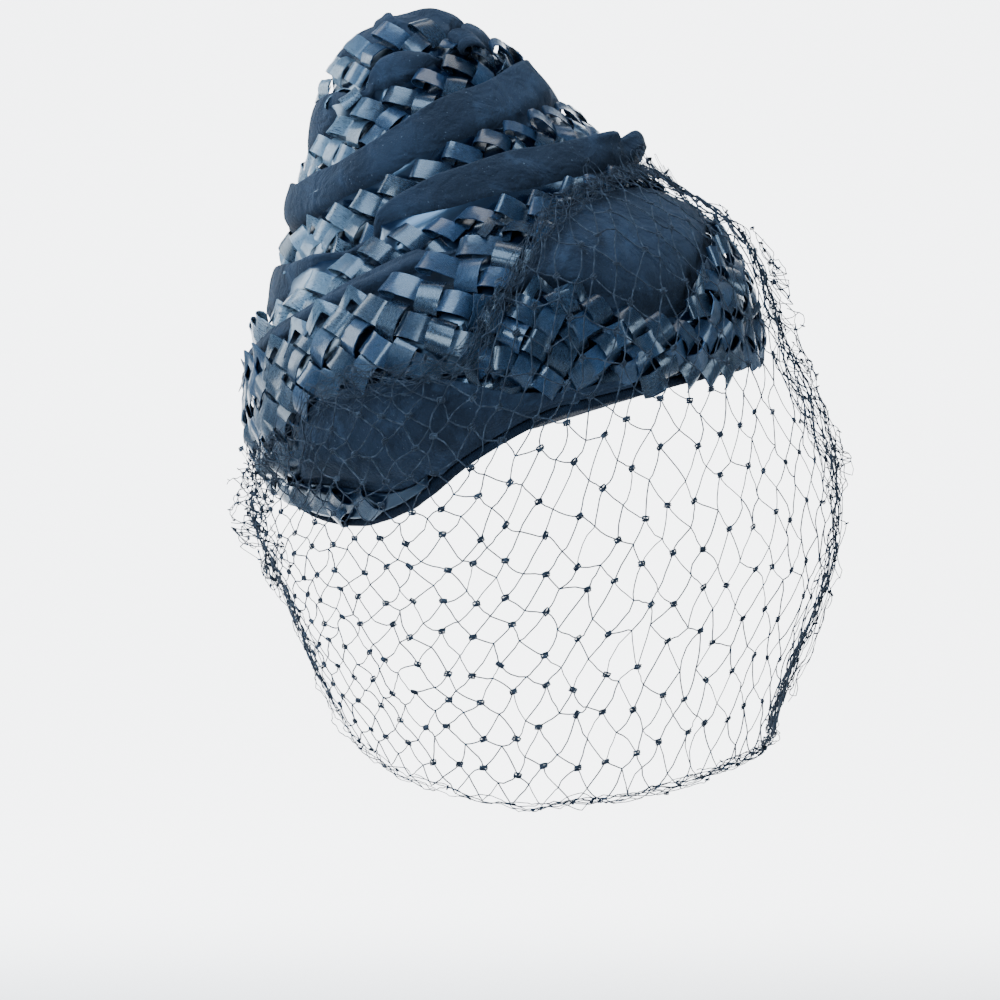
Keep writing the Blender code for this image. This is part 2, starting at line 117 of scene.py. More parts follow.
# Outline of the hat: shares of HAT_HEIGHT, HAT_WIDTH and HAT_DEPTH
OUTLINE = (
    (-0.13, 0.83, 0.84), (0.00, 0.94, 0.94), (0.11, 0.99, 0.99), (0.21, 0.98, 0.98), (0.30, 0.94, 0.93),
    (0.36, 0.88, 0.865), (0.41, 0.81, 0.785), (0.455, 0.75, 0.72), (0.53, 0.665, 0.63), (0.60, 0.60, 0.57),
    (0.68, 0.515, 0.485), (0.76, 0.435, 0.405), (0.825, 0.38, 0.35), (0.885, 0.315, 0.285),
    (0.935, 0.24, 0.215), (0.973, 0.14, 0.125), (1.00, 0.0, 0.0),
)

# Edges of the brim: azimuth in degrees from the front towards the wearer's left, and height as a share of
# BRIM_HEIGHT
RIM = (
    (-180, 0.12), (-120, 0.14), (-84, 0.13), (-72, 0.05), (-60, -0.09), (-45, -0.17), (-30, -0.15),
    (-12, -0.03), (6, 0.05), (24, 0.04), (60, 0.03), (90, 0.07), (120, 0.10), (180, 0.12),
)
LEFT_BAND_TOP = (
    (-60, 0.12), (-48, 0.34), (-36, 0.40), (-24, 0.37), (-12, 0.30), (0, 0.15), (12, 0.08), (24, 0.04),
)
RIGHT_BAND_TOP = (
    (0, 0.585), (12, 0.74), (24, 0.89), (36, 0.95), (48, 0.965), (60, 0.965), (72, 0.94), (84, 0.89),
    (96, 0.84),
)
LOWER_PLAIT_TOP = (
    (-12, 0.31), (0, 0.58), (12, 0.58), (24, 0.44), (36, 0.30), (48, 0.25), (72, 0.22), (120, 0.32),
    (180, 0.38), (240, 0.33), (276, 0.24), (300, 0.10), (312, 0.03), (324, -0.08), (336, -0.12),
)
UPPER_PLAIT_TOP = (
    (-324, 0.30), (-312, 0.46), (-300, 0.60), (-282, 0.74), (-264, 0.80), (-220, 0.82), (-180, 0.80),
    (-120, 0.76), (-84, 0.74), (-60, 0.74), (-48, 0.77), (-36, 0.81), (-24, 0.81), (-12, 0.85), (0, 0.90),
    (12, 0.95), (24, 0.98), (36, 0.955),
)
BASE_FOLD_TOP = (
    (-144, 0.81), (-120, 0.84), (-72, 0.84), (-48, 0.86), (-36, 0.895), (-24, 0.91), (-12, 0.93), (0, 0.905),
)
HEADING_LINE = (
    (-72, 0.28), (-60, 0.26), (-48, 0.30), (-39, 0.40), (-25, 0.385), (-11, 0.34), (-4, 0.41), (2, 0.54),
    (10, 0.70), (20, 0.86), (36, 0.97), (54, 1.02), (72, 1.02), (90, 0.94),
)

# The hanging veil at each azimuth: reach and depth of its belly and of its hem, as shares of VEIL_REACH and
# VEIL_DROP
DROPS = (
    (-78, 0.97, 0.20, 0.74, 0.62), (-54, 0.97, 0.32, 0.76, 0.80), (-28, 1.00, 0.36, 0.84, 0.93),
    (0, 1.06, 0.36, 0.93, 1.00), (28, 1.04, 0.32, 0.90, 0.97), (56, 1.06, 0.26, 0.90, 0.91),
    (84, 1.12, 0.16, 0.87, 0.86),
)


def along(rows, at, column):
    """Value of a table's column at this place in its first column, on a smooth curve through the rows."""
    if at <= rows[0][0]:
        return rows[0][column]
    if at >= rows[-1][0]:
        return rows[-1][column]
    index = next(i for i in range(len(rows) - 1) if rows[i + 1][0] >= at)
    low, high = rows[index], rows[index + 1]
    span = high[0] - low[0]

    def slope(i):
        before, after = rows[max(i - 1, 0)], rows[min(i + 1, len(rows) - 1)]
        return (after[column] - before[column]) / (after[0] - before[0])

    t = (at - low[0]) / span
    rise = high[column] - low[column]
    start, end = slope(index) * span, slope(index + 1) * span
    limit = 3.0 * abs(rise)
    start = max(-limit, min(limit, start)) if start * rise > 0 else 0.0
    end = max(-limit, min(limit, end)) if end * rise > 0 else 0.0
    return (low[column] * (1 + 2 * t) * (1 - t) ** 2 + start * t * (1 - t) ** 2
            + high[column] * t * t * (3 - 2 * t) - end * t * t * (1 - t))


def blend_in(value, start, end):
    """Smooth step from 0 at start to 1 at end."""
    t = max(0.0, min(1.0, (value - start) / (end - start)))
    return t * t * (3 - 2 * t)


def rim_height(azimuth):
    """Height of the hat's lower edge."""
    turned = (azimuth + 180.0) % 360.0 - 180.0
    return along(RIM, turned, 1) * BRIM_HEIGHT


def wall_lean(height):
    """The outline's unit normal at this height, as its share outwards and its share upwards."""
    share = height / HAT_HEIGHT
    nudge = 0.01
    fall = (along(OUTLINE, share - nudge, 1) - along(OUTLINE, share + nudge, 1)) * HAT_WIDTH / 2
    steep = math.hypot(fall, 2 * nudge * HAT_HEIGHT)
    return 2 * nudge * HAT_HEIGHT / steep, fall / steep


def outline_point(azimuth, height, offset):
    """Point of the hat's outline at this height, moved out along the outline's normal."""
    share = height / HAT_HEIGHT
    out, up = wall_lean(height)
    width = along(OUTLINE, share, 1) * HAT_WIDTH / 2
    depth = along(OUTLINE, share, 2) * HAT_DEPTH / 2
    a = math.radians(azimuth)
    across = max(width + offset * out, 0.0) * math.sin(a)
    ahead = max(depth + offset * out, 0.0) * math.cos(a)
    return Vector((across, -ahead, height + offset * up))


LEANING = Matrix.Rotation(-HAT_LEAN, 3, "Y")


def leaned(point):
    """A point of the upright hat, as it stands once the hat leans."""
    return LEANING @ point


def skew(azimuth, height):
    """How far the crown's turns rise on the wearer's left and sink on the right."""
    settled = blend_in(height, BRIM_HEIGHT, BRIM_HEIGHT + 2 * TURN_PITCH)
    return CROWN_SKEW * settled * math.sin(math.radians(azimuth))


def cloth_turn_top(winding):
    """Height of the crown band's upper edge."""
    height = FIRST_CLOTH_TOP + TURN_PITCH * winding / 360.0
    return height + skew(winding, height)


def straw_turn_top(winding):
    """Height of the crown plait's upper edge."""
    show = STRAW_SHOW + (TOP_STRAW_SHOW - STRAW_SHOW) * blend_in(winding, 400, 680)
    return min(cloth_turn_top(winding) + show, CAP_BASE + skew(winding, CAP_BASE))


def edge_top(rows):
    """A function that gives the height of a brim piece's top edge at a winding."""
    return lambda winding: along(rows, winding, 1) * BRIM_HEIGHT


# How far the crown's upper edges rise or sink from their even climb: winding and metres
EDGE_SHIFTS = {
    "crown_band": (
        (240, 0.0), (279, 0.0012), (309, -0.0067), (325, -0.0110), (334, -0.0135), (339, -0.0080),
        (344, -0.0045), (350, -0.0025), (358, 0.0), (380, 0.0), (393, -0.0030), (404, -0.0060),
        (416, -0.0075), (424, -0.0095), (432, -0.0105), (442, -0.0065), (458, 0.0), (620, 0.0), (640, 0.0070),
        (656, 0.0015), (670, 0.0),
        (685, -0.0025), (711, -0.0010), (728, 0.0017), (747, 0.0026), (778, 0.0030), (800, 0.0), (985, 0.0),
        (1003, 0.0105), (1018, 0.0085), (1032, 0.0040), (1046, -0.0030), (1054, -0.0050), (1060, -0.0030),
        (1066, 0.0005), (1076, 0.0010), (1088, -0.0020), (1098, -0.0075), (1115, -0.0040), (1130, 0.0),
    ),
    "crown_plait": (
        (-100, 0.0), (-61, -0.0037), (-48, -0.0017), (-33, 0.0020), (-16, 0.0023), (1, 0.0), (34, -0.0010),
        (73, -0.0013), (100, 0.0), (280, 0.0), (300, -0.0030), (320, -0.0035), (336, -0.0044), (353, -0.0020),
        (375, 0.0), (397, 0.0012), (423, 0.0030), (460, 0.0), (640, 0.0), (661, 0.0013), (682, 0.0034),
        (698, 0.0025), (712, 0.0), (735, 0.0014), (763, 0.0014), (799, -0.0010), (830, 0.0), (980, 0.0),
        (1008, 0.0075), (1038, 0.0065), (1060, 0.0030), (1082, 0.0), (1104, -0.0060), (1116, -0.0110),
        (1140, -0.0110), (1152, -0.0080),
    ),
}

# Pleats of the crown band: windings where the cloth starts to rise, stands highest and lies flat again, with
# the height of the rise
PLEATS = (
    (334, 342, 372, 0.0026), (386, 417, 422, 0.0052), (418, 428, 460, 0.0095), (752, 779, 786, 0.0030),
    (640, 646, 668, 0.0022), (1054, 1063, 1090, 0.0030), (1096, 1104, 1118, 0.0030), (520, 540, 548, 0.0028),
    (900, 914, 934, 0.0026),
)


def pleat_rise(winding):
    """How far the crown band's pleats lift its face."""
    return sum(size * blend_in(winding, start, crest) * (1 - blend_in(winding, crest, end))
               for start, crest, end, size in PLEATS)


Wrap = namedtuple("Wrap", "name matter first last top ribs")
WRAPS = (
    Wrap("brim_left_band", CLOTH, -5, 2, edge_top(LEFT_BAND_TOP), 2),
    Wrap("brim_right_band", CLOTH, 0, 8, edge_top(RIGHT_BAND_TOP), 2),
    Wrap("brim_lower_plait", STRAW, -1, 28, edge_top(LOWER_PLAIT_TOP), 3),
    Wrap("brim_upper_plait", STRAW, -27, 3, edge_top(UPPER_PLAIT_TOP), 3),
    Wrap("base_fold", CLOTH, -12, 0, edge_top(BASE_FOLD_TOP), 1),
    Wrap("crown_band", CLOTH, 6, 102, cloth_turn_top, 1),
    Wrap("crown_plait", STRAW, -10, 96, straw_turn_top, 1),
)
WRAP_OF = {wrap.name: wrap for wrap in WRAPS}
FLARED = "crown_band"

# Where one wrap lies in one plane: the heights of its hidden lower edge, of the place where it comes out
# from under the wrap below, and of its top edge. Its offset goes from root through floor to level.
Span = namedtuple("Span", "low cover top root floor level")


def crown_flare(winding):
    """How far the crown band's upper edge stands away from the straw."""
    wave = 0.8 + 0.2 * math.cos(math.radians(2.0 * winding + 20.0))
    return CLOTH_FLARE * blend_in(winding, 84, 150) * (1 - 0.75 * blend_in(winding, 960, 1180)) * wave


def cloth_rows(span, ribs, flare):
    """Heights and offsets of the frame's own cloth face."""
    rows = [(span.low, span.root), (span.cover, span.floor)]
    count = ribs + 2
    shown = min(1.0, (span.top - span.cover) / FULL_SHOW)
    for k in range(1, count + 1):
        share = k / count
        height = span.cover + (span.top - span.cover) * share
        lean_out = flare * blend_in(share, 0.0, 0.85) * shown
        swell = CLOTH_BELLY * math.sin(math.pi * min(share, 0.8)) * shown
        rows.append((height - FLARE_DROP * lean_out, span.level + swell + lean_out))
    return rows


def hold_of(below, name, winding):
    """Where the next wrap's hidden edge lies behind this one: its height and its offset."""
    flare = crown_flare(winding) if name == FLARED else 0.0
    if flare > 0.0:
        height, offset = cloth_rows(below, WRAP_OF[name].ribs, flare)[-2]
        return height, offset - TUCK
    return below.top - min(LAP, LAP_SHARE * (below.top - below.cover)), below.level - TUCK


def spans_in_plane(azimuth):
    """The wraps that cross the plane at an azimuth, from the rim up, each lapped by the one below it."""
    crossing = []
    for wrap in WRAPS:
        first, last = wrap.first * PLANE_STEP, wrap.last * PLANE_STEP
        winding = azimuth + 360.0 * math.ceil((first - azimuth) / 360.0)
        while winding <= last:
            whole = min(1.0, (winding - first) / PLANE_STEP, (last - winding) / PLANE_STEP)
            crossing.append((wrap.top(winding), wrap.name, winding, whole))
            winding += 360.0
    rim = rim_height(azimuth)
    (lowest_top, name_below, winding_below, _), *others = sorted(crossing)
    below = Span(rim, rim + LEAST_WIDTH / 3, max(lowest_top, rim + LEAST_WIDTH), 0.0, 0.0, 0.0)
    spans = {(name_below, round(winding_below / FINE_STEP)): below}
    for top, name, winding, whole in others:
        low, root = hold_of(below, name_below, winding_below)
        cover, floor = below.top + LAYER_GAP, below.level - TUCK
        if name in EDGE_SHIFTS:
            top += along(EDGE_SHIFTS[name], winding, 1)
        top = max(top, below.top + LEAST_WIDTH)
        show = whole * min(1.0, (top - below.top) / FULL_SHOW)
        top = below.top + END_SHOW + (top - below.top - END_SHOW) * whole
        below = Span(max(low, rim), cover, top, root, floor, floor * (1 - show))
        name_below, winding_below = name, winding
        spans[name, round(winding / FINE_STEP)] = below
    low, root = hold_of(below, name_below, winding_below)
    return spans, Span(low, below.top + LAYER_GAP, HAT_HEIGHT, root, below.level - TUCK, 0.0)


def all_spans():
    """Every wrap's span at each of its windings, and the span of the crown's cap in each plane."""
    spans, cap_spans = {}, []
    for plane in range(FINE_PLANES):
        found, cap = spans_in_plane(plane * FINE_STEP)
        spans.update(found)
        cap_spans.append(cap)
    return spans, cap_spans


SPANS, CAP_SPANS = all_spans()


def curve_through(a, b, c, d, t):
    """A smooth curve from b to c, with a and d as its neighbours."""
    return b + 0.5 * t * (c - a + t * (2 * a - 5 * b + 4 * c - d + t * (3 * (b - c) + d - a)))


def span_at(wrap, winding):
    """A wrap's span at any winding, smooth from plane to plane."""
    first, last = round(wrap.first * PLANE_STEP / FINE_STEP), round(wrap.last * PLANE_STEP / FINE_STEP)
    place = min(max(winding / FINE_STEP, first), last)
    turn = min(int(math.floor(place)), last - 1)
    around = [SPANS[wrap.name, min(max(turn + k, first), last)] for k in (-1, 0, 1, 2)]
    return Span(*(curve_through(*fields, place - turn) for fields in zip(*around)))


def cap_span_at(azimuth):
    """The cap's span at any azimuth."""
    place = azimuth / FINE_STEP
    turn = int(math.floor(place))
    around = [CAP_SPANS[(turn + k) % FINE_PLANES] for k in (-1, 0, 1, 2)]
    return Span(*(curve_through(*fields, place - turn) for fields in zip(*around)))


def linked(name, data):
    """An object that shows this mesh, light or camera."""
    piece = bpy.data.objects.new(name, data)
    bpy.context.scene.collection.objects.link(piece)
    return piece


def smooth(mesh):
    """Shades every face smooth."""
    mesh.polygons.foreach_set("use_smooth", [True] * len(mesh.polygons))


class Skin:
    """A mesh in the making: rings of points become a closed wall with its own UV map, in metres."""

    def __init__(self):
        self.shape = bmesh.new()
        self.layer = self.shape.loops.layers.uv.new("UVMap")

    def quad(self, corners, places):
        """One face, with each corner's place in the UV map."""
        face = self.shape.faces.new(corners)
        for loop, place in zip(face.loops, places):
            loop[self.layer].uv = place
        return face

    def loft(self, rings, steps, ring_steps, closed=False):
        """Joins rings of equal length. Steps run along the loft and ring_steps round each ring."""
        made = [[self.shape.verts.new(point) for point in ring] for ring in rings]
        count = len(rings[0])
        for k in range(len(rings) if closed else len(rings) - 1):
            first, second = made[k], made[(k + 1) % len(made)]
            for i in range(count):
                j = (i + 1) % count
                u0, u1 = steps[k], steps[k + 1]
                v0, v1 = ring_steps[i], ring_steps[i + 1]
                corners = (first[i], first[j], second[j], second[i])
                self.quad(corners, ((u0, v0), (u0, v1), (u1, v1), (u1, v0)))
        if not closed:
            for ring in (made[0][::-1], made[-1]):
                self.cap(ring)
        return made

    def cap(self, ring):
        """Closes an end with quads between the two sides of a ring, whose points are even in number."""
        count = len(ring)
        for i in range(count // 2 - 1):
            self.shape.faces.new((ring[i], ring[i + 1], ring[count - 2 - i], ring[count - 1 - i]))

    def finished(self, name, material):
        """The mesh as an object of its own, with its faces outwards."""
        bmesh.ops.recalc_face_normals(self.shape, faces=self.shape.faces)
        mesh = bpy.data.meshes.new(name)
        self.shape.to_mesh(mesh)
        self.shape.free()
        smooth(mesh)
        mesh.materials.append(material)
        return linked(name, mesh)


class Value:
    """A shader or geometry value that takes part in Python expressions."""

    def __init__(self, graph, socket):
        self.graph, self.socket = graph, socket

    def math(self, operation, *terms):
        return self.graph.math(operation, self, *terms)

    def __add__(self, other):
        return self.math("ADD", other)

    def __sub__(self, other):
        return self.math("SUBTRACT", other)

    def __rsub__(self, other):
        return self.graph.math("SUBTRACT", other, self)

    def __mul__(self, other):
        return self.math("MULTIPLY", other)

    __radd__ = __add__
    __rmul__ = __mul__


class Graph:
    """A node tree whose nodes are made from Python expressions."""

    def __init__(self, tree):
        self.tree = tree

    def node(self, kind, settings=None, sockets=None):
        """One node: its settings first, then the values or links of its sockets, by name or place."""
        made = self.tree.nodes.new(kind)
        for key, value in (settings or {}).items():
            setattr(made, key, value)
        for key, value in (sockets or {}).items():
            self.feed(made.inputs[key], value)
        return made

    def feed(self, socket, value):
        """Links a value to a socket, or sets the socket to a number or a colour."""
        if isinstance(value, Value):
            value = value.socket
        if isinstance(value, bpy.types.NodeSocket):
            self.tree.links.new(value, socket)
        elif socket.type == "RGBA" and len(value) == 3:
            socket.default_value = (*value, 1.0)
        else:
            socket.default_value = value

    def value(self, kind, output, settings=None, sockets=None):
        """One output of a new node, as a value."""
        return Value(self, self.node(kind, settings, sockets).outputs[output])

    def math(self, operation, *terms):
        return self.value("ShaderNodeMath", 0, {"operation": operation}, dict(enumerate(terms)))


class Finish(Graph):
    """A procedural material."""

    def __init__(self, name):
        self.material = bpy.data.materials.new(name)
        self.material.use_nodes = True
        super().__init__(self.material.node_tree)
        self.shader = self.tree.nodes["Principled BSDF"]
        self.place = self.value("ShaderNodeTexCoord", "Object")

    def uv(self, across=1.0, along_it=1.0):
        """The piece's own UV map, stretched."""
        place = self.value("ShaderNodeUVMap", "UV", {"uv_map": "UVMap"})
        return self.value("ShaderNodeMapping", "Vector", None,
                          {"Vector": place, "Scale": (across, along_it, 1.0)})

    def noise(self, scale, detail=2.0, rough=0.5, place=None, bend=0.0):
        """Soft noise, with its scale in waves per metre unless a place of its own is given."""
        return self.value("ShaderNodeTexNoise", "Fac", None, {
            "Vector": place or self.place, "Scale": scale, "Detail": detail, "Roughness": rough,
            "Distortion": bend})

    def step(self, value, low, high):
        """Smooth step of a value from 0 at low to 1 at high."""
        return self.value("ShaderNodeMapRange", 0, {"interpolation_type": "SMOOTHSTEP"},
                          {"Value": value, "From Min": low, "From Max": high})

    def mix(self, share, first, second):
        """A colour between two others."""
        node = self.node("ShaderNodeMix", {"data_type": "RGBA"})
        self.feed(node.inputs[0], share)
        self.feed(node.inputs[6], first)
        self.feed(node.inputs[7], second)
        return Value(self, node.outputs[2])

    def set(self, **sockets):
        """Values and links of the shader's own sockets, with spaces written as underscores."""
        for key, value in sockets.items():
            self.feed(self.shader.inputs[key.replace("_", " ")], value)

    def relief(self, *layers):
        """Bumps on bumps: pairs of a height and its depth in metres."""
        normal = None
        for height, depth in layers:
            sockets = {"Height": height, "Distance": depth, "Strength": 1.0}
            if normal:
                sockets["Normal"] = normal
            normal = self.value("ShaderNodeBump", "Normal", None, sockets)
        self.set(Normal=normal)


def cloth_finish(colours):
    """Soft crepe: blue-black, matt, with a pebbled weave, rubbed places and a little lint."""
    finish = Finish("blue_black_crepe")
    patches = finish.noise(26.0, 3.0)
    rubbed = finish.step(finish.noise(70.0, 4.0, 0.6, bend=0.4), 0.52, 0.78)
    base = finish.mix(finish.step(patches, 0.35, 0.7), colours.cloth_dark, colours.cloth)
    base = finish.mix(rubbed * 0.55, base, colours.cloth_worn)
    lint = finish.step(finish.noise(1100.0, 1.0), 0.72, 0.82)
    base = finish.mix(lint * 0.45, base, colours.lint)
    crepe = finish.noise(1700.0, 3.0, 0.6)
    drape = finish.noise(80.0, 3.0, 0.55, bend=0.6)
    finish.set(Base_Color=base, Roughness=0.80 + rubbed * 0.10, Sheen_Weight=0.06, Sheen_Roughness=0.45,
               Sheen_Tint=(0.55, 0.72, 1.0), Specular_IOR_Level=0.22)
    finish.relief((drape, 0.0042), (crepe, 0.00045))
    return finish.material


def facing_finish(colours):
    """Ribbed ribbon of the rim and the headband."""
    finish = Finish("ribbed_facing")
    ribs = finish.value("ShaderNodeTexWave", "Fac", {"wave_type": "BANDS", "bands_direction": "X"},
                        {"Vector": finish.uv(), "Scale": 320.0, "Distortion": 0.6})
    worn = finish.step(finish.noise(60.0, 4.0), 0.45, 0.75)
    base = finish.mix(worn * 0.5, colours.cloth_dark, colours.cloth)
    finish.set(Base_Color=base, Roughness=0.78 + worn * 0.12, Specular_IOR_Level=0.10)
    finish.relief((finish.noise(120.0, 3.0), 0.0009), (ribs, 0.00025))
    return finish.material


def straw_finish(colours):
    """Satin flat straw: fibres along each strip, a blue-grey bloom, faded places, and a painted glint on the
    crown's left side.
    """
    finish = Finish("plaited_straw")
    tone = finish.value("ShaderNodeAttribute", "Fac", {"attribute_name": "tone"})
    fibres = finish.noise(1.0, 5.0, 0.65, finish.uv(7.0, 80.0), bend=0.35)
    creases = finish.noise(1.0, 4.0, 0.6, finish.uv(8.0, 18.0), bend=1.2)
    blotch = finish.noise(110.0, 4.0, 0.6, bend=0.5)
    base = finish.mix(finish.step(fibres, 0.30, 0.75), colours.straw_dark, colours.straw)
    base = finish.mix(finish.step(tone + blotch * 0.4, 0.55, 1.20) * 0.9, base, colours.straw_bloom)
    place = finish.node("ShaderNodeSeparateXYZ", None, {0: finish.place})
    leftwards, high = Value(finish, place.outputs["X"]) * -1.0, Value(finish, place.outputs["Z"])
    # Painted glint: straw on the crown's far left, above the brim, is mixed towards pale grey where its
    # creases stand high, as if lit from the left.
    painted_glint = finish.step(leftwards, 0.054, 0.086) * finish.step(high, 0.028, 0.050)
    faded = finish.step(blotch + tone * 0.08 + painted_glint * 0.25, 0.74, 0.84) * finish.step(fibres, 0.35, 0.6)
    base = finish.mix(faded * 0.8, base, colours.straw_brown)
    pale = finish.step(creases + tone * 0.2, 0.42, 0.58) * finish.step(tone, 0.0, 0.05)
    base = finish.mix(painted_glint * pale * 0.9, base, colours.straw_painted_glint)
    finish.set(Base_Color=base, Roughness=0.16 + creases * 0.24 + tone * 0.10 + faded * 0.15,
               Coat_Weight=0.70, Coat_Roughness=0.20, Coat_Tint=(0.60, 0.81, 1.0), Specular_IOR_Level=0.62,
               Specular_Tint=(0.54, 0.78, 1.0))
    finish.relief((creases, 0.0016), (fibres, 0.00040))
    return finish.material


def thread_finish(colours):
    """Dyed veil thread, with a slight silky shine."""
    finish = Finish("veil_thread")
    wear = finish.noise(420.0, 2.0)
    base = finish.mix(finish.step(wear, 0.4, 0.75), colours.thread, colours.thread_light)
    finish.set(Base_Color=base, Roughness=0.58 + wear * 0.2, Sheen_Weight=0.08, Sheen_Roughness=0.35,
               Sheen_Tint=(0.6, 0.75, 1.0), Specular_IOR_Level=0.25)
    finish.relief((finish.noise(3000.0, 1.0), 0.00005))
    return finish.material


class Making(Graph):
    """A geometry tree with named inputs, used through one modifier and then turned into a plain mesh."""

    KINDS = {float: "NodeSocketFloat", int: "NodeSocketInt"}

    def __init__(self, name, sizes):
        tree = bpy.data.node_groups.new(name, "GeometryNodeTree")
        super().__init__(tree)
        tree.interface.new_socket("Geometry", in_out="INPUT", socket_type="NodeSocketGeometry")
        tree.interface.new_socket("Geometry", in_out="OUTPUT", socket_type="NodeSocketGeometry")
        self.sockets = {}
        for title, value in sizes.items():
            made = tree.interface.new_socket(title, in_out="INPUT", socket_type=self.KINDS[type(value)])
            made.default_value = value
            self.sockets[title] = made.identifier
        self.sizes = sizes
        self.source = self.node("NodeGroupInput")

    def size(self, title):
        """One of the tree's named inputs."""
        return Value(self, self.source.outputs[title])

    def attribute(self, name, kind):
        """A named attribute of the points."""
        return self.value("GeometryNodeInputNamedAttribute", 0, {"data_type": kind}, {"Name": name})

    def collection(self, patterns):
        """The patterns of a collection, each on its own."""
        return self.value("GeometryNodeCollectionInfo", 0, None,
                          {"Collection": patterns, "Separate Children": True, "Reset Children": True})

    def end(self, geometry, material):
        """Realises what the tree made, and gives it its finish."""
        whole = self.value("GeometryNodeRealizeInstances", 0, None, {"Geometry": geometry})
        whole = self.value("GeometryNodeSetShadeSmooth", 0, None, {"Geometry": whole})
        whole = self.value("GeometryNodeSetMaterial", 0, None, {"Geometry": whole, "Material": material})
        self.node("NodeGroupOutput", None, {0: whole})

    def apply(self, name, points, **changed):
        """The tree's result on these points, as a plain mesh. Changed sizes are named with underscores."""
        carrier = linked(name + "_points", points)
        modifier = carrier.modifiers.new("making", "NODES")
        modifier.node_group = self.tree
        for title, identifier in self.sockets.items():
            modifier[identifier] = changed.get(title.replace(" ", "_"), self.sizes[title])
        bpy.context.view_layer.update()
        evaluated = carrier.evaluated_get(bpy.context.evaluated_depsgraph_get())
        mesh = bpy.data.meshes.new_from_object(evaluated)
        mesh.name = name
        carrier.modifiers.remove(modifier)
        bpy.data.objects.remove(carrier)
        return linked(name, mesh)


# A band's section: places up its shown face, how far a flared face swells, the steps round its folded edge,
# the rows of the face that its inside repeats, from the fold down, and the last row below the close fold
FACE_SHARES = (0.05, 0.12, 0.2, 0.3, 0.4, 0.5, 0.6, 0.7, 0.79, 0.87, 0.94, 1.0)
FLARED_BELLY = 0.0014
FOLD_STEPS = 5
INSIDE_ROWS = (13, 12, 11, 9, 7, 5, 2, 0)
FOLDED_CLOSE = 8


def cloth_profile(span, flare, sizes, crease, rise, curl):
    """Heights and offsets round a band's section: up its face, over its folded edge, and down inside."""
    shown = min(1.0, max(0.0, (span.top - span.cover) / FULL_SHOW))
    width = span.top - span.cover
    face = [(span.low, span.root), (span.low * 0.3 + span.cover * 0.7, span.floor * 0.7 + span.root * 0.3),
            (span.cover, span.floor)]
    for share in FACE_SHARES:
        height = span.cover + width * share
        lean_out = flare * share * shown
        belly = CLOTH_BELLY * math.sin(math.pi * min(share, 0.8))
        if flare:
            belly = FLARED_BELLY * math.sin(math.pi * share)
        out = span.level + belly * shown + lean_out
        out += (crease(share) + rise) * shown * blend_in(share, 0.0, 0.3)
        if share < 0.2:
            out = span.floor + (out - span.floor) * blend_in(share, -0.02, 0.2)
        turned = curl * blend_in(share, 0.62, 1.0) * shown
        face.append((height - FLARE_DROP * lean_out - 0.9 * turned, out + turned))
    radius = sizes.fold_radius * (0.35 + 0.65 * shown)
    (h0, o0), (h1, o1) = face[-2], face[-1]
    length = math.hypot(h1 - h0, o1 - o0) or 1.0
    up_h, up_o = (h1 - h0) / length, (o1 - o0) / length
    out_h, out_o = -up_o, up_h
    edge = []
    for k in range(1, FOLD_STEPS + 1):
        a = math.pi * k / FOLD_STEPS
        edge.append((h1 - out_h * radius * (1 - math.cos(a)) + up_h * radius * math.sin(a),
                     o1 - out_o * radius * (1 - math.cos(a)) + up_o * radius * math.sin(a)))
    inside = []
    for index in INSIDE_ROWS:
        height, out = face[index]
        deep = 2 * radius if index > FOLDED_CLOSE else CLOTH_WALL
        if index == INSIDE_ROWS[0]:
            height, out = height - out_h * deep, out - out_o * deep
        else:
            out -= deep
        inside.append((height, out))
    return face + edge + inside


def ring_lengths(ring):
    """Distances round a ring of points."""
    lengths = [0.0]
    for first, second in zip(ring, ring[1:] + ring[:1]):
        lengths.append(lengths[-1] + (second - first).length)
    return lengths


# Creases across a band: waves along it, slant, waves across it, layer of the noise and strength. After them,
# the radius that turns a winding into a length along the band
CREASES = ((26, 1.6, 0.9, 0.0, 0.75), (9, -0.5, 0.6, 4.0, 0.9))
CREASE_REACH = 0.09

# Where the crown band's upper edge rolls outwards: winding, spread in degrees and size
CURLS = ((413, 7, 0.0030), (1101, 7, 0.0020))


def make_cloth_band(wrap, sizes, material):
    """A folded strip of cloth along its windings, with soft creases and an edge that turns over."""
    first, last = wrap.first * PLANE_STEP, wrap.last * PLANE_STEP
    count = round((last - first) / sizes.column_step)
    rings, steps = [], [0.0]
    seed = Vector((len(wrap.name) * 3.1, 7.7, 1.3))
    for k in range(count + 1):
        winding = first + (last - first) * k / count
        span = span_at(wrap, winding)
        flare = crown_flare(winding) if wrap.name == FLARED else 0.0
        run = math.radians(winding) * CREASE_REACH

        def crease(share):
            return sizes.crease_depth * sum(
                strength * noise.noise(Vector((run * waves + share * slant, share * across, layer)) + seed)
                for waves, slant, across, layer, strength in CREASES)

        curl = rise = 0.0
        if wrap.name == FLARED:
            curl = sum(size * math.exp(-((winding - at) / spread) ** 2) for at, spread, size in CURLS)
            rise = pleat_rise(winding)
        wobble = sizes.edge_wobble * noise.noise(Vector((run * 20, 2.0, 9.0)) + seed)
        fade = blend_in(winding, first, first + 20) * (1 - blend_in(winding, last - 20, last))
        span = span._replace(top=span.top + wobble * fade)
        profile = cloth_profile(span, flare, sizes, crease, rise, curl)
        ring = [leaned(outline_point(winding, h, o)) for h, o in profile]
        rings.append(ring)
        if k:
            steps.append(steps[-1] + (ring[8] - rings[-2][8]).length)
    skin = Skin()
    skin.loft(rings, steps, ring_lengths(rings[len(rings) // 2]))
    return skin.finished(wrap.name + "_cloth", material)


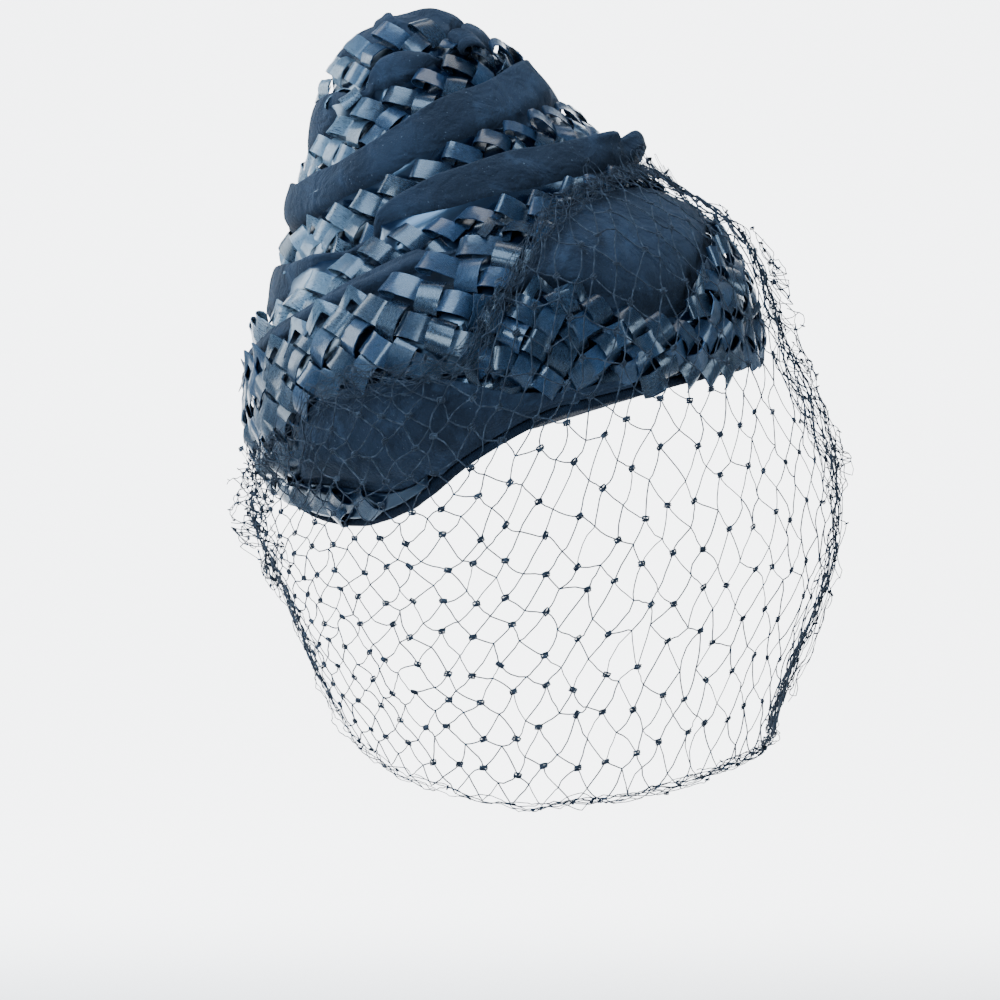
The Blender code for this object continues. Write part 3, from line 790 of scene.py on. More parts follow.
# The inner layer of a plait: degrees between its sections, how far it stops short of the upper edge and lies
# below the strips, its wall, and how far the crown's hangs down and in behind a cloth edge that stands away
GROUND_STEP = 4.0
GROUND_DROP = 0.0022
GROUND_SINK = 0.0018
GROUND_WALL = 0.0008
APRON_LEAST = 0.0010
APRON_DROP = 0.0110
APRON_SINK = 0.0085


def plait_ground(wrap, material):
    """The plait's inner layer, seen in the gaps between its strips and from inside the hat."""
    first, last = wrap.first * PLANE_STEP, wrap.last * PLANE_STEP
    count = round((last - first) / GROUND_STEP)
    rings, steps = [], [0.0]
    for k in range(count + 1):
        winding = first + (last - first) * k / count
        span = span_at(wrap, winding)
        foot = min(span.cover + RISE, (span.cover + span.top) / 2)
        top = span.top - min(GROUND_DROP, (span.top - span.cover) / 3)
        rows = [(span.low, span.root), (span.cover, span.floor), (foot, span.level - GROUND_SINK),
                ((foot + top) / 2, span.level - GROUND_SINK), (top, span.level - GROUND_SINK)]
        if wrap.name == "crown_plait":
            share = crown_flare(winding) / CLOTH_FLARE
            rows.insert(0, (span.low - APRON_LEAST - APRON_DROP * share, span.root - APRON_SINK * share))
        profile = rows + [(h, o - GROUND_WALL) for h, o in rows[::-1]]
        ring = [leaned(outline_point(winding, h, o)) for h, o in profile]
        rings.append(ring)
        if k:
            steps.append(steps[-1] + (ring[-1] - rings[-2][-1]).length)
    skin = Skin()
    skin.loft(rings, steps, ring_lengths(rings[len(rings) // 2]))
    return skin.finished(wrap.name + "_ground", material)


def thin_sheet(name, grid, thickness, seed):
    """A crisp thin sheet below this grid of points, with its length along the first index."""
    columns, rows = len(grid), len(grid[0])
    skin = Skin()
    top = [[skin.shape.verts.new(point) for point in column] for column in grid]
    bottom = []
    for i in range(columns):
        bottom.append([])
        for j in range(rows):
            run = grid[min(i + 1, columns - 1)][j] - grid[max(i - 1, 0)][j]
            side = grid[i][min(j + 1, rows - 1)] - grid[i][max(j - 1, 0)]
            bottom[i].append(skin.shape.verts.new(grid[i][j] - run.cross(side).normalized() * thickness))

    def place(i, j):
        return (seed * 0.37 + i / (columns - 1), j / (rows - 1))

    for i in range(columns - 1):
        for j in range(rows - 1):
            spots = ((i, j), (i + 1, j), (i + 1, j + 1), (i, j + 1))
            skin.quad([top[a][b] for a, b in spots], [place(*s) for s in spots])
            skin.quad([bottom[a][b] for a, b in spots[::-1]], [place(*s) for s in spots[::-1]])
    edge = [(i, 0) for i in range(columns)] + [(columns - 1, j) for j in range(1, rows)]
    edge += [(i, rows - 1) for i in range(columns - 2, -1, -1)] + [(0, j) for j in range(rows - 2, 0, -1)]
    for a, b in zip(edge, edge[1:] + edge[:1]):
        face = skin.quad((top[a[0]][a[1]], bottom[a[0]][a[1]], bottom[b[0]][b[1]], top[b[0]][b[1]]),
                         (place(*a), place(*a), place(*b), place(*b)))
        for crisp in face.edges:
            crisp.smooth = False
    return skin.finished(name, None)


# Sections along a strip: places along it in strip widths and their lift in metres. A plain crossing dives
# under its neighbours at both ends, and a loop comes up over the plait's edge and dives at one end.
CROSSING_LINE = (
    (-0.65, -0.0009), (-0.52, 0.0003), (-0.34, 0.0011), (0.0, 0.0014), (0.34, 0.0011), (0.52, 0.0003),
    (0.65, -0.0009),
)
LOOP_LINE = (
    (-0.40, -0.0012), (-0.74, -0.0010), (-0.90, 0.0002), (-0.89, 0.0016), (-0.72, 0.0025), (-0.42, 0.0026),
    (-0.08, 0.0021), (0.24, 0.0014), (0.48, 0.0005), (0.65, -0.0008),
)
TENT_PLACES = (-1.0, -0.66, -0.33, -0.06, 0.06, 0.34, 0.66, 1.0)
STRIP_UNIT = 0.010
STRIP_ROWS = 4
CROSSING_KINDS = 8
LOOP_KINDS = 5
TENT_KINDS = 4


def strip_pattern(name, seed, line, sizes):
    """One stretch of a straw strip along a section line: flat across, with fine wrinkles along it."""
    chance = random.Random(seed)
    cup, twist = chance.uniform(-0.00012, 0.00022), chance.uniform(-0.0006, 0.0006)
    crook, taper = chance.uniform(-0.06, 0.06), chance.uniform(-0.05, 0.09)
    high = chance.uniform(0.8, 1.25)
    grid = []
    for along_it, lift in line:
        column = []
        for j in range(STRIP_ROWS):
            y = j / (STRIP_ROWS - 1) - 0.5
            z = (lift * high if lift > 0 else lift) + cup * (4 * y * y - 0.4) + twist * along_it * y
            z += sizes.wrinkle * noise.noise(Vector((along_it * 2.2, y * 5.0, seed * 3.3)))
            side = y * (1.0 - taper * abs(along_it)) + crook * along_it
            skewed = along_it + 0.10 * y * (1 if along_it < -0.5 else 0)
            column.append(Vector((skewed * STRIP_UNIT, side * STRIP_UNIT, z)))
        grid.append(column)
    return thin_sheet(name, grid, sizes.strip_thickness, seed)


def tent_pattern(name, seed, sizes):
    """A strip folded to a point over the plait's edge: a broad face, and a narrow one that falls away."""
    chance = random.Random(seed * 5)
    tall, ridge = chance.uniform(0.28, 0.42), chance.uniform(0.0024, 0.0040)
    pitch = STRIP_UNIT * math.sqrt(2.0)
    grid = []
    for u in TENT_PLACES:
        column = []
        for j in range(STRIP_ROWS):
            v = j / (STRIP_ROWS - 1)
            top = tall - (tall + 0.10) * abs(u)
            low = top - 0.38 - 0.14 * abs(u)
            fall = 1.0 - (abs(u) if u < 0 else 1.75 * u)
            z = 0.0003 + ridge * fall * (0.35 + 0.65 * v)
            z += sizes.wrinkle * noise.noise(Vector((u * 2.5, v * 3.0, seed * 1.7)))
            column.append(Vector((0.56 * u * pitch, (low + (top - low) * v) * pitch, z)))
        grid.append(column)
    return thin_sheet(name, grid, sizes.strip_thickness, seed)


def set_aside(pieces, name):
    """A collection of patterns that stays out of the scene."""
    patterns = bpy.data.collections.new(name)
    for piece in pieces:
        bpy.context.scene.collection.objects.unlink(piece)
        patterns.objects.link(piece)
    return patterns


def discard(patterns):
    """Removes patterns that have done their work."""
    for pattern in list(patterns.objects):
        bpy.data.objects.remove(pattern)
    bpy.data.collections.remove(patterns)


def straw_patterns(sizes):
    """The crossings, loops and tents that every plait picks from, in the order of their names."""
    made = [strip_pattern(f"a_crossing_{k}", k + 1, CROSSING_LINE, sizes) for k in range(CROSSING_KINDS)]
    made += [strip_pattern(f"b_loop_{k}", k + 21, LOOP_LINE, sizes) for k in range(LOOP_KINDS)]
    made += [tent_pattern(f"c_tent_{k}", k + 1, sizes) for k in range(TENT_KINDS)]
    return set_aside(made, "straw_patterns")


# How each plait's strips turn over its upper edge: the shares of loops and of tents at each winding
EDGE_SHARES = {
    "crown_plait": ((-120, 0.94, 0.06), (1152, 0.94, 0.06)),
    "brim_upper_plait": (
        (-324, 0.7, 0.3), (-110, 0.7, 0.3), (-90, 0.0, 1.0), (-26, 0.0, 1.0), (-20, 1.0, 0.0), (0, 1.0, 0.0),
        (36, 0.7, 0.3),
    ),
    "brim_lower_plait": ((-12, 0.0, 1.0), (22, 0.0, 1.0), (30, 0.0, 0.0), (336, 0.0, 0.0)),
}

# Each plait's own ways: the size that holds its strips' width, how much its crossings are tilted and arched,
# as shares, and how much broader its strips are than their spacing asks. After them, the largest tilt, in
# standard deviations, and the most rows of crossings that any plait has
Plait = namedtuple("Plait", "width_name tilt arch broader")
PLAITS = {
    "crown_plait": Plait("crown_strip_width", 1.0, 1.1, 0.0),
    "brim_upper_plait": Plait("brim_strip_width", 1.0, 1.1, 0.0),
    "brim_lower_plait": Plait("lower_strip_width", 1.1, 1.5, 0.05),
}
MOST_TILT = 1.8
PLAIT_ROWS = 12

# The lowest wrap's strips hang over the rim in front, between these azimuths, and keep clear of it elsewhere.
# After that, the least shown width that still carries strips
RIM_FRONT = (-20.0, 100.0)
RIM_OVERHANG = 0.0030
RIM_CLEARANCE = 0.0035
SHALLOWEST = 0.004

Crossing = namedtuple("Crossing", "place turn stretch tone kind")


def top_line(wrap, step=2.0):
    """The plait's upper edge: windings and distances along it."""
    first, last = wrap.first * PLANE_STEP, wrap.last * PLANE_STEP
    count = round((last - first) / step)
    windings = [first + (last - first) * k / count for k in range(count + 1)]
    points = [outline_point(w, span_at(wrap, w).top, 0.0) for w in windings]
    lengths = [0.0]
    for a, b in zip(points, points[1:]):
        lengths.append(lengths[-1] + (b - a).length)
    return windings, lengths


def winding_at(windings, lengths, distance):
    """The winding at this distance along a plait."""
    low, high = 0, len(lengths) - 1
    while high - low > 1:
        middle = (low + high) // 2
        if lengths[middle] > distance:
            high = middle
        else:
            low = middle
    share = (distance - lengths[low]) / max(lengths[high] - lengths[low], 1e-9)
    return windings[low] + (windings[high] - windings[low]) * share


def straw_offset(span, height):
    """A plait's offset at a height: it comes out from under the wrap below, then keeps its level."""
    if height < span.cover:
        share = blend_in(height, span.low, span.cover)
        return span.root + (span.floor - span.root) * share
    foot = min(span.cover + RISE, (span.cover + span.top) / 2)
    return span.floor + (span.level - span.floor) * blend_in(height, span.cover, foot)


def crossing_on(wrap, winding, below, slant, chance, sizes, kind, width):
    """One crossing of the plait at a winding and a distance below the upper edge."""
    span = span_at(wrap, winding)
    out, _ = wall_lean(span.top - below / 2)
    height = span.top - below * out

    def spot(at, h):
        return leaned(outline_point(at, h, straw_offset(span, h)))

    here = spot(winding, height)
    plait, nudge = PLAITS[wrap.name], 0.0015
    up = (spot(winding, height + nudge) - spot(winding, height - nudge)).normalized()
    span_next = span_at(wrap, winding + 1.0)
    height_next = height + span_next.top - span.top
    ahead = leaned(outline_point(winding + 1.0, height_next, straw_offset(span, height)))
    path = (ahead - here).normalized()
    normal = path.cross(up).normalized()
    up = normal.cross(path)
    strand = path * math.cos(slant) + up * math.sin(slant)
    side = normal.cross(strand)
    shake = sizes.strip_shake * plait.tilt
    turn = Matrix((strand, side, normal)).transposed().to_quaternion()
    for axis, amount in (((1, 0, 0), 1.1), ((0, 1, 0), 0.9), ((0, 0, 1), 0.7 / plait.tilt ** 2)):
        tilt = max(-MOST_TILT, min(MOST_TILT, chance.gauss(0, 1)))
        turn = turn @ Quaternion(axis, tilt * amount * shake)
    lift = sizes.strip_lift + abs(chance.gauss(0, 0.00025))
    size = width / STRIP_UNIT
    stretch = (size * chance.uniform(0.96, 1.05), size * (plait.broader + chance.uniform(0.84, 0.95)),
               chance.uniform(0.8, 1.25) * plait.arch)
    return Crossing(here + normal * lift, turn, stretch, chance.random(), kind), span, height


def crossings_of(wrap, sizes):
    """A plait's crossings, with the loops and tents of its edge. Its strips run at 45 degrees to the edge."""
    chance = random.Random(sizes.seed + len(wrap.name))
    windings, lengths = top_line(wrap)
    width = getattr(sizes, PLAITS[wrap.name].width_name)
    count = max(4, round(lengths[-1] / (width * math.sqrt(2.0))))
    pitch = lengths[-1] / count
    width = pitch / math.sqrt(2.0)
    found = []

    def add(distance, below, slant, kind):
        if distance >= lengths[-1]:
            return
        winding = winding_at(windings, lengths, distance)
        crossing, span, height = crossing_on(wrap, winding, below, slant, chance, sizes, kind, width)
        in_front = RIM_FRONT[0] < (winding + 180.0) % 360.0 - 180.0 < RIM_FRONT[1]
        overhang = 0.0
        if span.floor == 0.0 and span.root == 0.0:
            overhang = RIM_OVERHANG if in_front else -RIM_CLEARANCE
        lowest = max(span.low - overhang, span.cover - SHALLOWEST)
        if span.top - span.cover > SHALLOWEST and height > lowest:
            found.append(crossing)

    for row in range(PLAIT_ROWS):
        for k in range(count):
            distance = (k + 0.5 + 0.5 * (row % 2)) * pitch
            at = winding_at(windings, lengths, distance)
            loops, tents = (along(EDGE_SHARES[wrap.name], at, column) for column in (1, 2))
            slant = -math.pi / 4 if row % 2 == 0 else math.pi / 4
            kind = chance.randrange(CROSSING_KINDS)
            pick = chance.random()
            if row == 0 and pick < loops:
                kind = CROSSING_KINDS + chance.randrange(LOOP_KINDS)
                slant += chance.uniform(0.02, 0.14)
            elif row == 0 and pick < loops + tents:
                tent = CROSSING_KINDS + LOOP_KINDS + chance.randrange(TENT_KINDS)
                add(distance - 0.5 * pitch, 0.10 * pitch, chance.uniform(-0.1, 0.1), tent)
            add(distance, (row + 1) * pitch / 2 + sizes.edge_drop, slant, kind)
    return found


def points_mesh(name, crossings):
    """Bare points that carry each crossing's turn, stretch, tone and kind."""
    mesh = bpy.data.meshes.new(name)
    mesh.from_pydata([c.place for c in crossings], [], [])
    for title, kind, key, values in (
        ("turn", "QUATERNION", "value", [v for c in crossings for v in c.turn]),
        ("stretch", "FLOAT_VECTOR", "vector", [v for c in crossings for v in c.stretch]),
        ("tone", "FLOAT", "value", [c.tone for c in crossings]),
        ("kind", "INT", "value", [c.kind for c in crossings]),
    ):
        mesh.attributes.new(title, kind, "POINT").data.foreach_set(key, values)
    return mesh


def plaiting(patterns, sizes, material):
    """The tree that sets a straw pattern on every crossing, and crumples the whole a little."""
    making = Making("straw_plaiting", {"Crumple": sizes.crumple, "Crumple Scale": sizes.crumple_scale})
    points = making.source.outputs["Geometry"]
    set_on = making.value("GeometryNodeInstanceOnPoints", 0, None, {
        "Points": points, "Instance": making.collection(patterns), "Pick Instance": True,
        "Instance Index": making.attribute("kind", "INT"), "Rotation": making.attribute("turn", "QUATERNION"),
        "Scale": making.attribute("stretch", "FLOAT_VECTOR")})
    whole = making.value("GeometryNodeRealizeInstances", 0, None, {"Geometry": set_on})
    waves = making.value("ShaderNodeTexNoise", "Color", None, {
        "Scale": making.size("Crumple Scale"), "Detail": 2.0})
    centred = making.value("ShaderNodeVectorMath", 0, {"operation": "SUBTRACT"},
                           {0: waves, 1: (0.5, 0.5, 0.5)})
    moved = making.value("ShaderNodeVectorMath", 0, {"operation": "SCALE"},
                         {0: centred, "Scale": making.size("Crumple")})
    whole = making.value("GeometryNodeSetPosition", 0, None, {"Geometry": whole, "Offset": moved})
    making.end(whole, material)
    return making


# The cap: sections round it, rows up it as shares, the number of its folds, how far they swirl and stand out,
# how far the cloth puffs, how far it stands over the outline at the tip, and the UV map's step for each face
CAP_COLUMNS = 120
CAP_SHARES = (0.0, 0.06, 0.13, 0.2, 0.28, 0.36, 0.44, 0.52, 0.6, 0.68, 0.76, 0.84, 0.91, 0.96)
CAP_FOLDS = 5
CAP_SWIRL = 150
CAP_FOLD_DEPTH = 0.0022
CAP_PUFF = 0.0012
CAP_RISE = 0.0004
CAP_UV_STEP = (0.004, 0.003)


def make_crown_cap(material):
    """The gathered cloth at the tip: soft folds that swirl in to the top."""
    skin = Skin()
    rings = []
    for k in range(CAP_COLUMNS):
        azimuth = 360.0 * k / CAP_COLUMNS
        span = cap_span_at(azimuth)
        rows = [(span.low, span.root), (span.cover, span.floor)]
        for share in CAP_SHARES:
            height = span.cover + RISE / 2 + (HAT_HEIGHT - span.cover - RISE / 2) * share
            spiral = math.radians(CAP_FOLDS * azimuth + CAP_SWIRL * share)
            fold = CAP_FOLD_DEPTH * (math.cos(spiral) + 0.35 * math.cos(2.3 * spiral + 1.0))
            fold *= math.sin(math.pi * min(1.0, share + 0.15)) ** 0.8
            puff = CAP_PUFF * math.sin(math.pi * share)
            rows.append((height, max(fold, -0.001) + puff))
        face = [outline_point(azimuth, h, o) for h, o in rows]
        back = [outline_point(azimuth, h, o - CLOTH_WALL) for h, o in rows[::-2]]
        rings.append([leaned(p) for p in face + back])
    count = len(rows)
    made = [[skin.shape.verts.new(p) for p in ring] for ring in rings]
    size = len(rings[0])
    wide, high = CAP_UV_STEP
    for k in range(CAP_COLUMNS):
        first, second = made[k], made[(k + 1) % CAP_COLUMNS]
        for i in range(size):
            j = (i + 1) % size
            if i == count - 1:
                continue
            u, v = k * wide, i * high
            corners = (first[i], first[j], second[j], second[i])
            skin.quad(corners, ((u, v), (u, v + high), (u + wide, v + high), (u + wide, v)))
    for index, height in ((count - 1, HAT_HEIGHT + CAP_RISE), (count, HAT_HEIGHT - CLOTH_WALL)):
        middle = skin.shape.verts.new(leaned(Vector((0, 0, height))))
        for k in range(CAP_COLUMNS):
            skin.shape.faces.new((made[k][index], made[(k + 1) % CAP_COLUMNS][index], middle))
    return skin.finished("crown_cap_cloth", material)


def ribbon(name, stations, thickness, material):
    """A strip of cloth on edge through stations: a centre, the way up, the way out and a height."""
    rings, steps = [], [0.0]
    for centre, up, out, height in stations:
        flat = height / 2 - thickness / 2
        ring = [centre + up * flat * s + out * thickness / 2 for s in (-1.0, -0.5, 0.0, 0.5, 1.0)]
        ring += [centre + up * (flat + thickness / 2 * math.sin(a)) + out * thickness / 2 * math.cos(a)
                 for a in (0.8, 1.57, 2.34)]
        ring += [centre + up * flat * s - out * thickness / 2 for s in (1.0, 0.5, 0.0, -0.5, -1.0)]
        ring += [centre - up * (flat + thickness / 2 * math.sin(a)) - out * thickness / 2 * math.cos(a)
                 for a in (0.8, 1.57, 2.34)]
        if rings:
            steps.append(steps[-1] + (ring[2] - rings[-1][2]).length)
        rings.append(ring)
    skin = Skin()
    skin.loft(rings, steps, ring_lengths(rings[0]))
    return skin.finished(name, material)


# The fold beside the tip, in millimetres on the hat's surface: along, out, up and height of each station.
# After it, the azimuth and height where it stands, and the cloth's thickness, in metres
TIP_FOLD = (
    (13.0, -1.5, 1.5, 6.0), (10.5, 0.4, 2.0, 8.0), (7.0, 1.4, 1.8, 9.5), (3.0, 1.6, 1.2, 10.5),
    (-1.0, 1.8, 0.6, 11.0), (-3.2, 2.6, 0.3, 11.2), (-4.2, 4.4, 0.1, 11.2), (-3.4, 6.2, -0.1, 11.0),
    (-1.4, 7.0, -0.4, 10.6), (1.4, 6.8, -0.8, 10.0), (4.0, 5.8, -1.4, 9.0), (6.0, 4.4, -2.0, 8.0),
)
TIP_FOLD_AZIMUTH = 33
TIP_FOLD_HEIGHT = 0.1545
TIP_FOLD_WALL = 0.0017


def make_tip_fold(material):
    """The small doubled fold of cloth that stands up beside the tip."""
    origin = outline_point(TIP_FOLD_AZIMUTH, TIP_FOLD_HEIGHT, 0.0)
    beside = outline_point(TIP_FOLD_AZIMUTH + 1, TIP_FOLD_HEIGHT, 0.0)
    above = outline_point(TIP_FOLD_AZIMUTH, TIP_FOLD_HEIGHT + 0.001, 0.0)
    path = (beside - origin).normalized()
    out = path.cross(above - origin).normalized()
    up = out.cross(path)
    line = []
    for k in range(4 * (len(TIP_FOLD) - 1) + 1):
        index, t = divmod(k, 4)
        index, t = (index, t / 4) if index < len(TIP_FOLD) - 1 else (index - 1, 1.0)
        around = [TIP_FOLD[min(max(index + n, 0), len(TIP_FOLD) - 1)] for n in (-1, 0, 1, 2)]
        line.append([curve_through(*values, t) * 0.001 for values in zip(*around)])
    stations = []
    for k, (a, o, u, height) in enumerate(line):
        before, after = line[max(k - 1, 0)], line[min(k + 1, len(line) - 1)]
        run = (path * (after[0] - before[0]) + out * (after[1] - before[1])).normalized()
        centre = origin + path * a + out * o + up * u
        stations.append((leaned(centre), leaned(up), leaned(up.cross(run)), height))
    return ribbon("tip_fold_cloth", stations, TIP_FOLD_WALL, material)


def opening_point(azimuth, height, out):
    """Point on the edge of the head opening, moved away from the axis."""
    a = math.radians(azimuth)
    across, ahead = OPENING_WIDTH / 2 + out, OPENING_DEPTH / 2 + out
    return Vector((across * math.sin(a), -ahead * math.cos(a), height))


# The facing: sections round it, how far it reaches up behind the brim, the depth and closeness of its puckers,
# its length for each degree, and how much of the headband's top edge is turned over
FACING_COLUMNS = 180
FACING_REACH = 0.0049
PUCKER_DEPTH = 0.0004
PUCKERS = 14
FACING_PER_DEGREE = 0.0019
HEM_TURN = 0.0008


def make_rim_facing(material):
    """The facing: hidden behind the brim, rolled round the rim, then up inside as the headband."""
    hidden = -2 * TUCK - LAYER_GAP
    rings, steps = [], []
    for k in range(FACING_COLUMNS):
        azimuth = 360.0 * k / FACING_COLUMNS
        rim, turned = rim_height(azimuth), math.radians(azimuth)
        spot = Vector((math.sin(turned) * PUCKERS, math.cos(turned) * PUCKERS, 0))
        pucker = PUCKER_DEPTH * noise.noise(spot)
        roll = RIM_ROLL + pucker
        profile = [outline_point(azimuth, rim + FACING_REACH, hidden),
                   outline_point(azimuth, rim - LAYER_GAP, hidden)]
        centre_h, centre_o = rim - LAYER_GAP - roll * 0.55, -roll * 0.9
        for m in range(9):
            a = math.radians(100 - 200 * m / 8)
            height, out = centre_h + roll * 0.62 * math.sin(a), centre_o + roll * 0.95 * math.cos(a)
            profile.append(outline_point(azimuth, height, out))
        for out, up in (
            (RIM_ROLL, -0.2 * RIM_ROLL), (0.35 * RIM_ROLL, 0.3 * RIM_ROLL), (0.0, RIM_ROLL),
            (0.0, HEADBAND_HEIGHT * 0.5), (0.0, HEADBAND_HEIGHT - HEM_TURN), (HEM_TURN, HEADBAND_HEIGHT),
        ):
            profile.append(opening_point(azimuth, rim + up, out + pucker))
        for out, up in ((FACING_WALL, HEADBAND_HEIGHT - HEM_TURN / 2), (FACING_WALL, RIM_ROLL)):
            profile.append(opening_point(azimuth, rim + up, out))
        low, out = rim - 0.2 * RIM_ROLL + FACING_WALL, RIM_ROLL + 0.3 * FACING_WALL
        profile.append(opening_point(azimuth, low, out))
        profile.append(outline_point(azimuth, rim - RIM_ROLL + FACING_WALL, hidden - FACING_WALL))
        profile.append(outline_point(azimuth, rim + FACING_REACH, hidden - FACING_WALL))
        rings.append([leaned(p) for p in profile])
        steps.append(azimuth * FACING_PER_DEGREE)
    steps.append(360.0 * FACING_PER_DEGREE)
    skin = Skin()
    skin.loft(rings, steps, ring_lengths(rings[0]), closed=True)
    return skin.finished("rim_facing_ribbon", material)


def heading_height(azimuth):
    """Height of the net's gathered heading on the hat."""
    return along(HEADING_LINE, azimuth, 1) * BRIM_HEIGHT


def net_point(across, down):
    """A point of the veil, from 0 to 1 across its width and from 0 at the heading to 1 at the hem."""
    first, last = DROPS[0][0], DROPS[-1][0]
    azimuth = first + (last - first) * across
    stand_off = NET_STAND_OFF + SHOULDER_STAND_OFF * blend_in(azimuth, 10, 40)
    head = heading_height(azimuth)
    turn = 0.2 * BRIM_HEIGHT
    top = leaned(outline_point(azimuth, head, HEADING_OFFSET + HEADING_THICKNESS / 2))
    brim = leaned(outline_point(azimuth, min(turn, head - 2 * HEADING_THICKNESS), stand_off))
    a = math.radians(azimuth)
    out = Vector((math.sin(a), -math.cos(a), 0.0))
    belly = out * along(DROPS, azimuth, 1) * VEIL_REACH
    belly.z = -along(DROPS, azimuth, 2) * VEIL_DROP
    hem = out * along(DROPS, azimuth, 3) * VEIL_REACH
    hem.z = -along(DROPS, azimuth, 4) * VEIL_DROP
    line = [top, brim, belly, hem]
    if head > 0.5 * BRIM_HEIGHT:
        line.insert(1, leaned(outline_point(azimuth, (head + turn) / 2, stand_off)))
    lengths = [0.0]
    for first_point, second_point in zip(line, line[1:]):
        lengths.append(lengths[-1] + (second_point - first_point).length)
    rows = [(length, *point) for length, point in zip(lengths, line)]
    at = down * lengths[-1]
    return Vector([along(rows, at, axis) for axis in (1, 2, 3)])


class Threads:
    """Lines of thread in the making, with the places and turns of their knots."""

    def __init__(self):
        self.points, self.edges, self.knots = [], [], {}

    def spot(self, point):
        """Adds a point and gives its place in the list."""
        self.points.append(point)
        return len(self.points) - 1

    def strand(self, line):
        """One thread along these points, apart from all others."""
        spots = [self.spot(point) for point in line]
        self.edges += list(zip(spots, spots[1:]))
        return spots

    def knot(self, spot, turn):
        """Ties a knot on a point."""
        self.knots[spot] = turn

    def mesh(self, name):
        """Bare lines that carry their knots and the knots' turns."""
        mesh = bpy.data.meshes.new(name)
        mesh.from_pydata(self.points, self.edges, [])
        turns = [self.knots.get(spot, Quaternion()) for spot in range(len(self.points))]
        flags = [int(spot in self.knots) for spot in range(len(self.points))]
        mesh.attributes.new("knotted", "INT", "POINT").data.foreach_set("value", flags)
        turned = mesh.attributes.new("turn", "QUATERNION", "POINT")
        turned.data.foreach_set("value", [v for turn in turns for v in turn])
        return mesh


def knotting(sizes, knots, material):
    """The tree that makes round threads of lines, and sets a knot on each knotted point."""
    making = Making("veil_knotting", {"Thread Radius": sizes.thread_radius, "Knot Size": sizes.knot_size,
                                      "Sides": sizes.thread_sides})
    source = making.source.outputs["Geometry"]
    lines = making.value("GeometryNodeMeshToCurve", 0, None, {0: source})
    ring = making.value("GeometryNodeCurvePrimitiveCircle", 0, None, {
        "Resolution": making.size("Sides"), "Radius": making.size("Thread Radius")})
    threads = making.value("GeometryNodeCurveToMesh", 0, None, {
        "Curve": lines, "Profile Curve": ring, "Fill Caps": True})
    tied = making.value("FunctionNodeCompare", 0, {"data_type": "INT", "operation": "EQUAL"},
                        {2: making.attribute("knotted", "INT"), 3: 1})
    set_on = making.value("GeometryNodeInstanceOnPoints", 0, None, {
        "Points": source, "Selection": tied, "Instance": making.collection(knots), "Pick Instance": True,
        "Rotation": making.attribute("turn", "QUATERNION"), "Scale": making.size("Knot Size")})
    both = making.node("GeometryNodeJoinGeometry")
    making.feed(both.inputs[0], set_on)
    making.feed(both.inputs[0], threads)
    making.end(Value(making, both.outputs[0]), material)
    return making


# A woven knot, one unit long: short bars of thread from one corner to another, and the bars' radius
KNOT_BARS = (
    ((-0.50, -0.30), (0.46, -0.18)), ((-0.48, -0.06), (0.48, 0.06)), ((-0.46, 0.18), (0.50, 0.30)),
    ((-0.40, -0.30), (-0.36, 0.22)), ((0.36, -0.20), (0.40, 0.30)),
)
KNOT_BAR_RADIUS = 0.12
KNOT_KINDS = 4


def knot_patterns():
    """A few small flat woven knots, one unit long."""
    made = []
    for k in range(KNOT_KINDS):
        chance = random.Random(k + 5)
        skin = Skin()
        for index, (start, end) in enumerate(KNOT_BARS):
            a = Vector((*start, 0.05 * (index % 2))) + Vector([chance.uniform(-0.05, 0.05) for _ in range(3)])
            b = Vector((*end, 0.05 * (index % 2))) + Vector([chance.uniform(-0.05, 0.05) for _ in range(3)])
            run = (b - a).normalized()
            side = run.cross(Vector((0, 0, 1))).normalized()
            rings = []
            for t, swell in ((0.0, 0.6), (0.5, 1.15), (1.0, 0.6)):
                centre = a.lerp(b, t)
                around = [side * math.cos(q) + run.cross(side) * math.sin(q) for q in (0.0, 1.57, 3.14, 4.71)]
                rings.append([centre + way * KNOT_BAR_RADIUS * swell for way in around])
            skin.loft(rings, (0.0, 0.5, 1.0), (0.0, 0.1, 0.2, 0.3, 0.4))
        made.append(skin.finished(f"knot_{k}", None))
    return set_aside(made, "knot_patterns")


def wander(chance, size):
    """A smooth random path of sideways steps."""
    seed = Vector((chance.uniform(0, 90), chance.uniform(0, 90), chance.uniform(0, 90)))
    return lambda at: size * Vector([noise.noise(seed + Vector((at, 11.0 * axis, 0.0))) for axis in range(3)])


def net_turn(across, down, chance):
    """The turn that lays a knot flat on the veil, a little askew."""
    nudge = 0.01
    run = (net_point(min(across + nudge, 1), down) - net_point(max(across - nudge, 0), down)).normalized()
    fall = net_point(across, max(down - nudge, 0)) - net_point(across, min(down + nudge, 1))
    out = run.cross(fall).normalized()
    turn = Matrix((run, out.cross(run), out)).transposed().to_quaternion()
    turn = turn @ Quaternion((0, 0, 1), chance.gauss(-0.1, 0.28))
    return turn @ Quaternion((1, 0, 0), chance.gauss(0, 0.2))


def any_turn(chance):
    """A random turn."""
    return Quaternion([chance.gauss(0, 1) for _ in range(4)]).normalized()


THREAD_KINK = 0.00012

# The net: how far its crossings shift, as a share of their spacing, and how far it sways. Its loose parts,
# the hem and the sides, are of finer thread with smaller knots, by these shares.
NET_SHIFT = 0.42
NET_SWAY = 0.0012
FINER_THREAD = 0.75
SMALLER_KNOT = 0.62


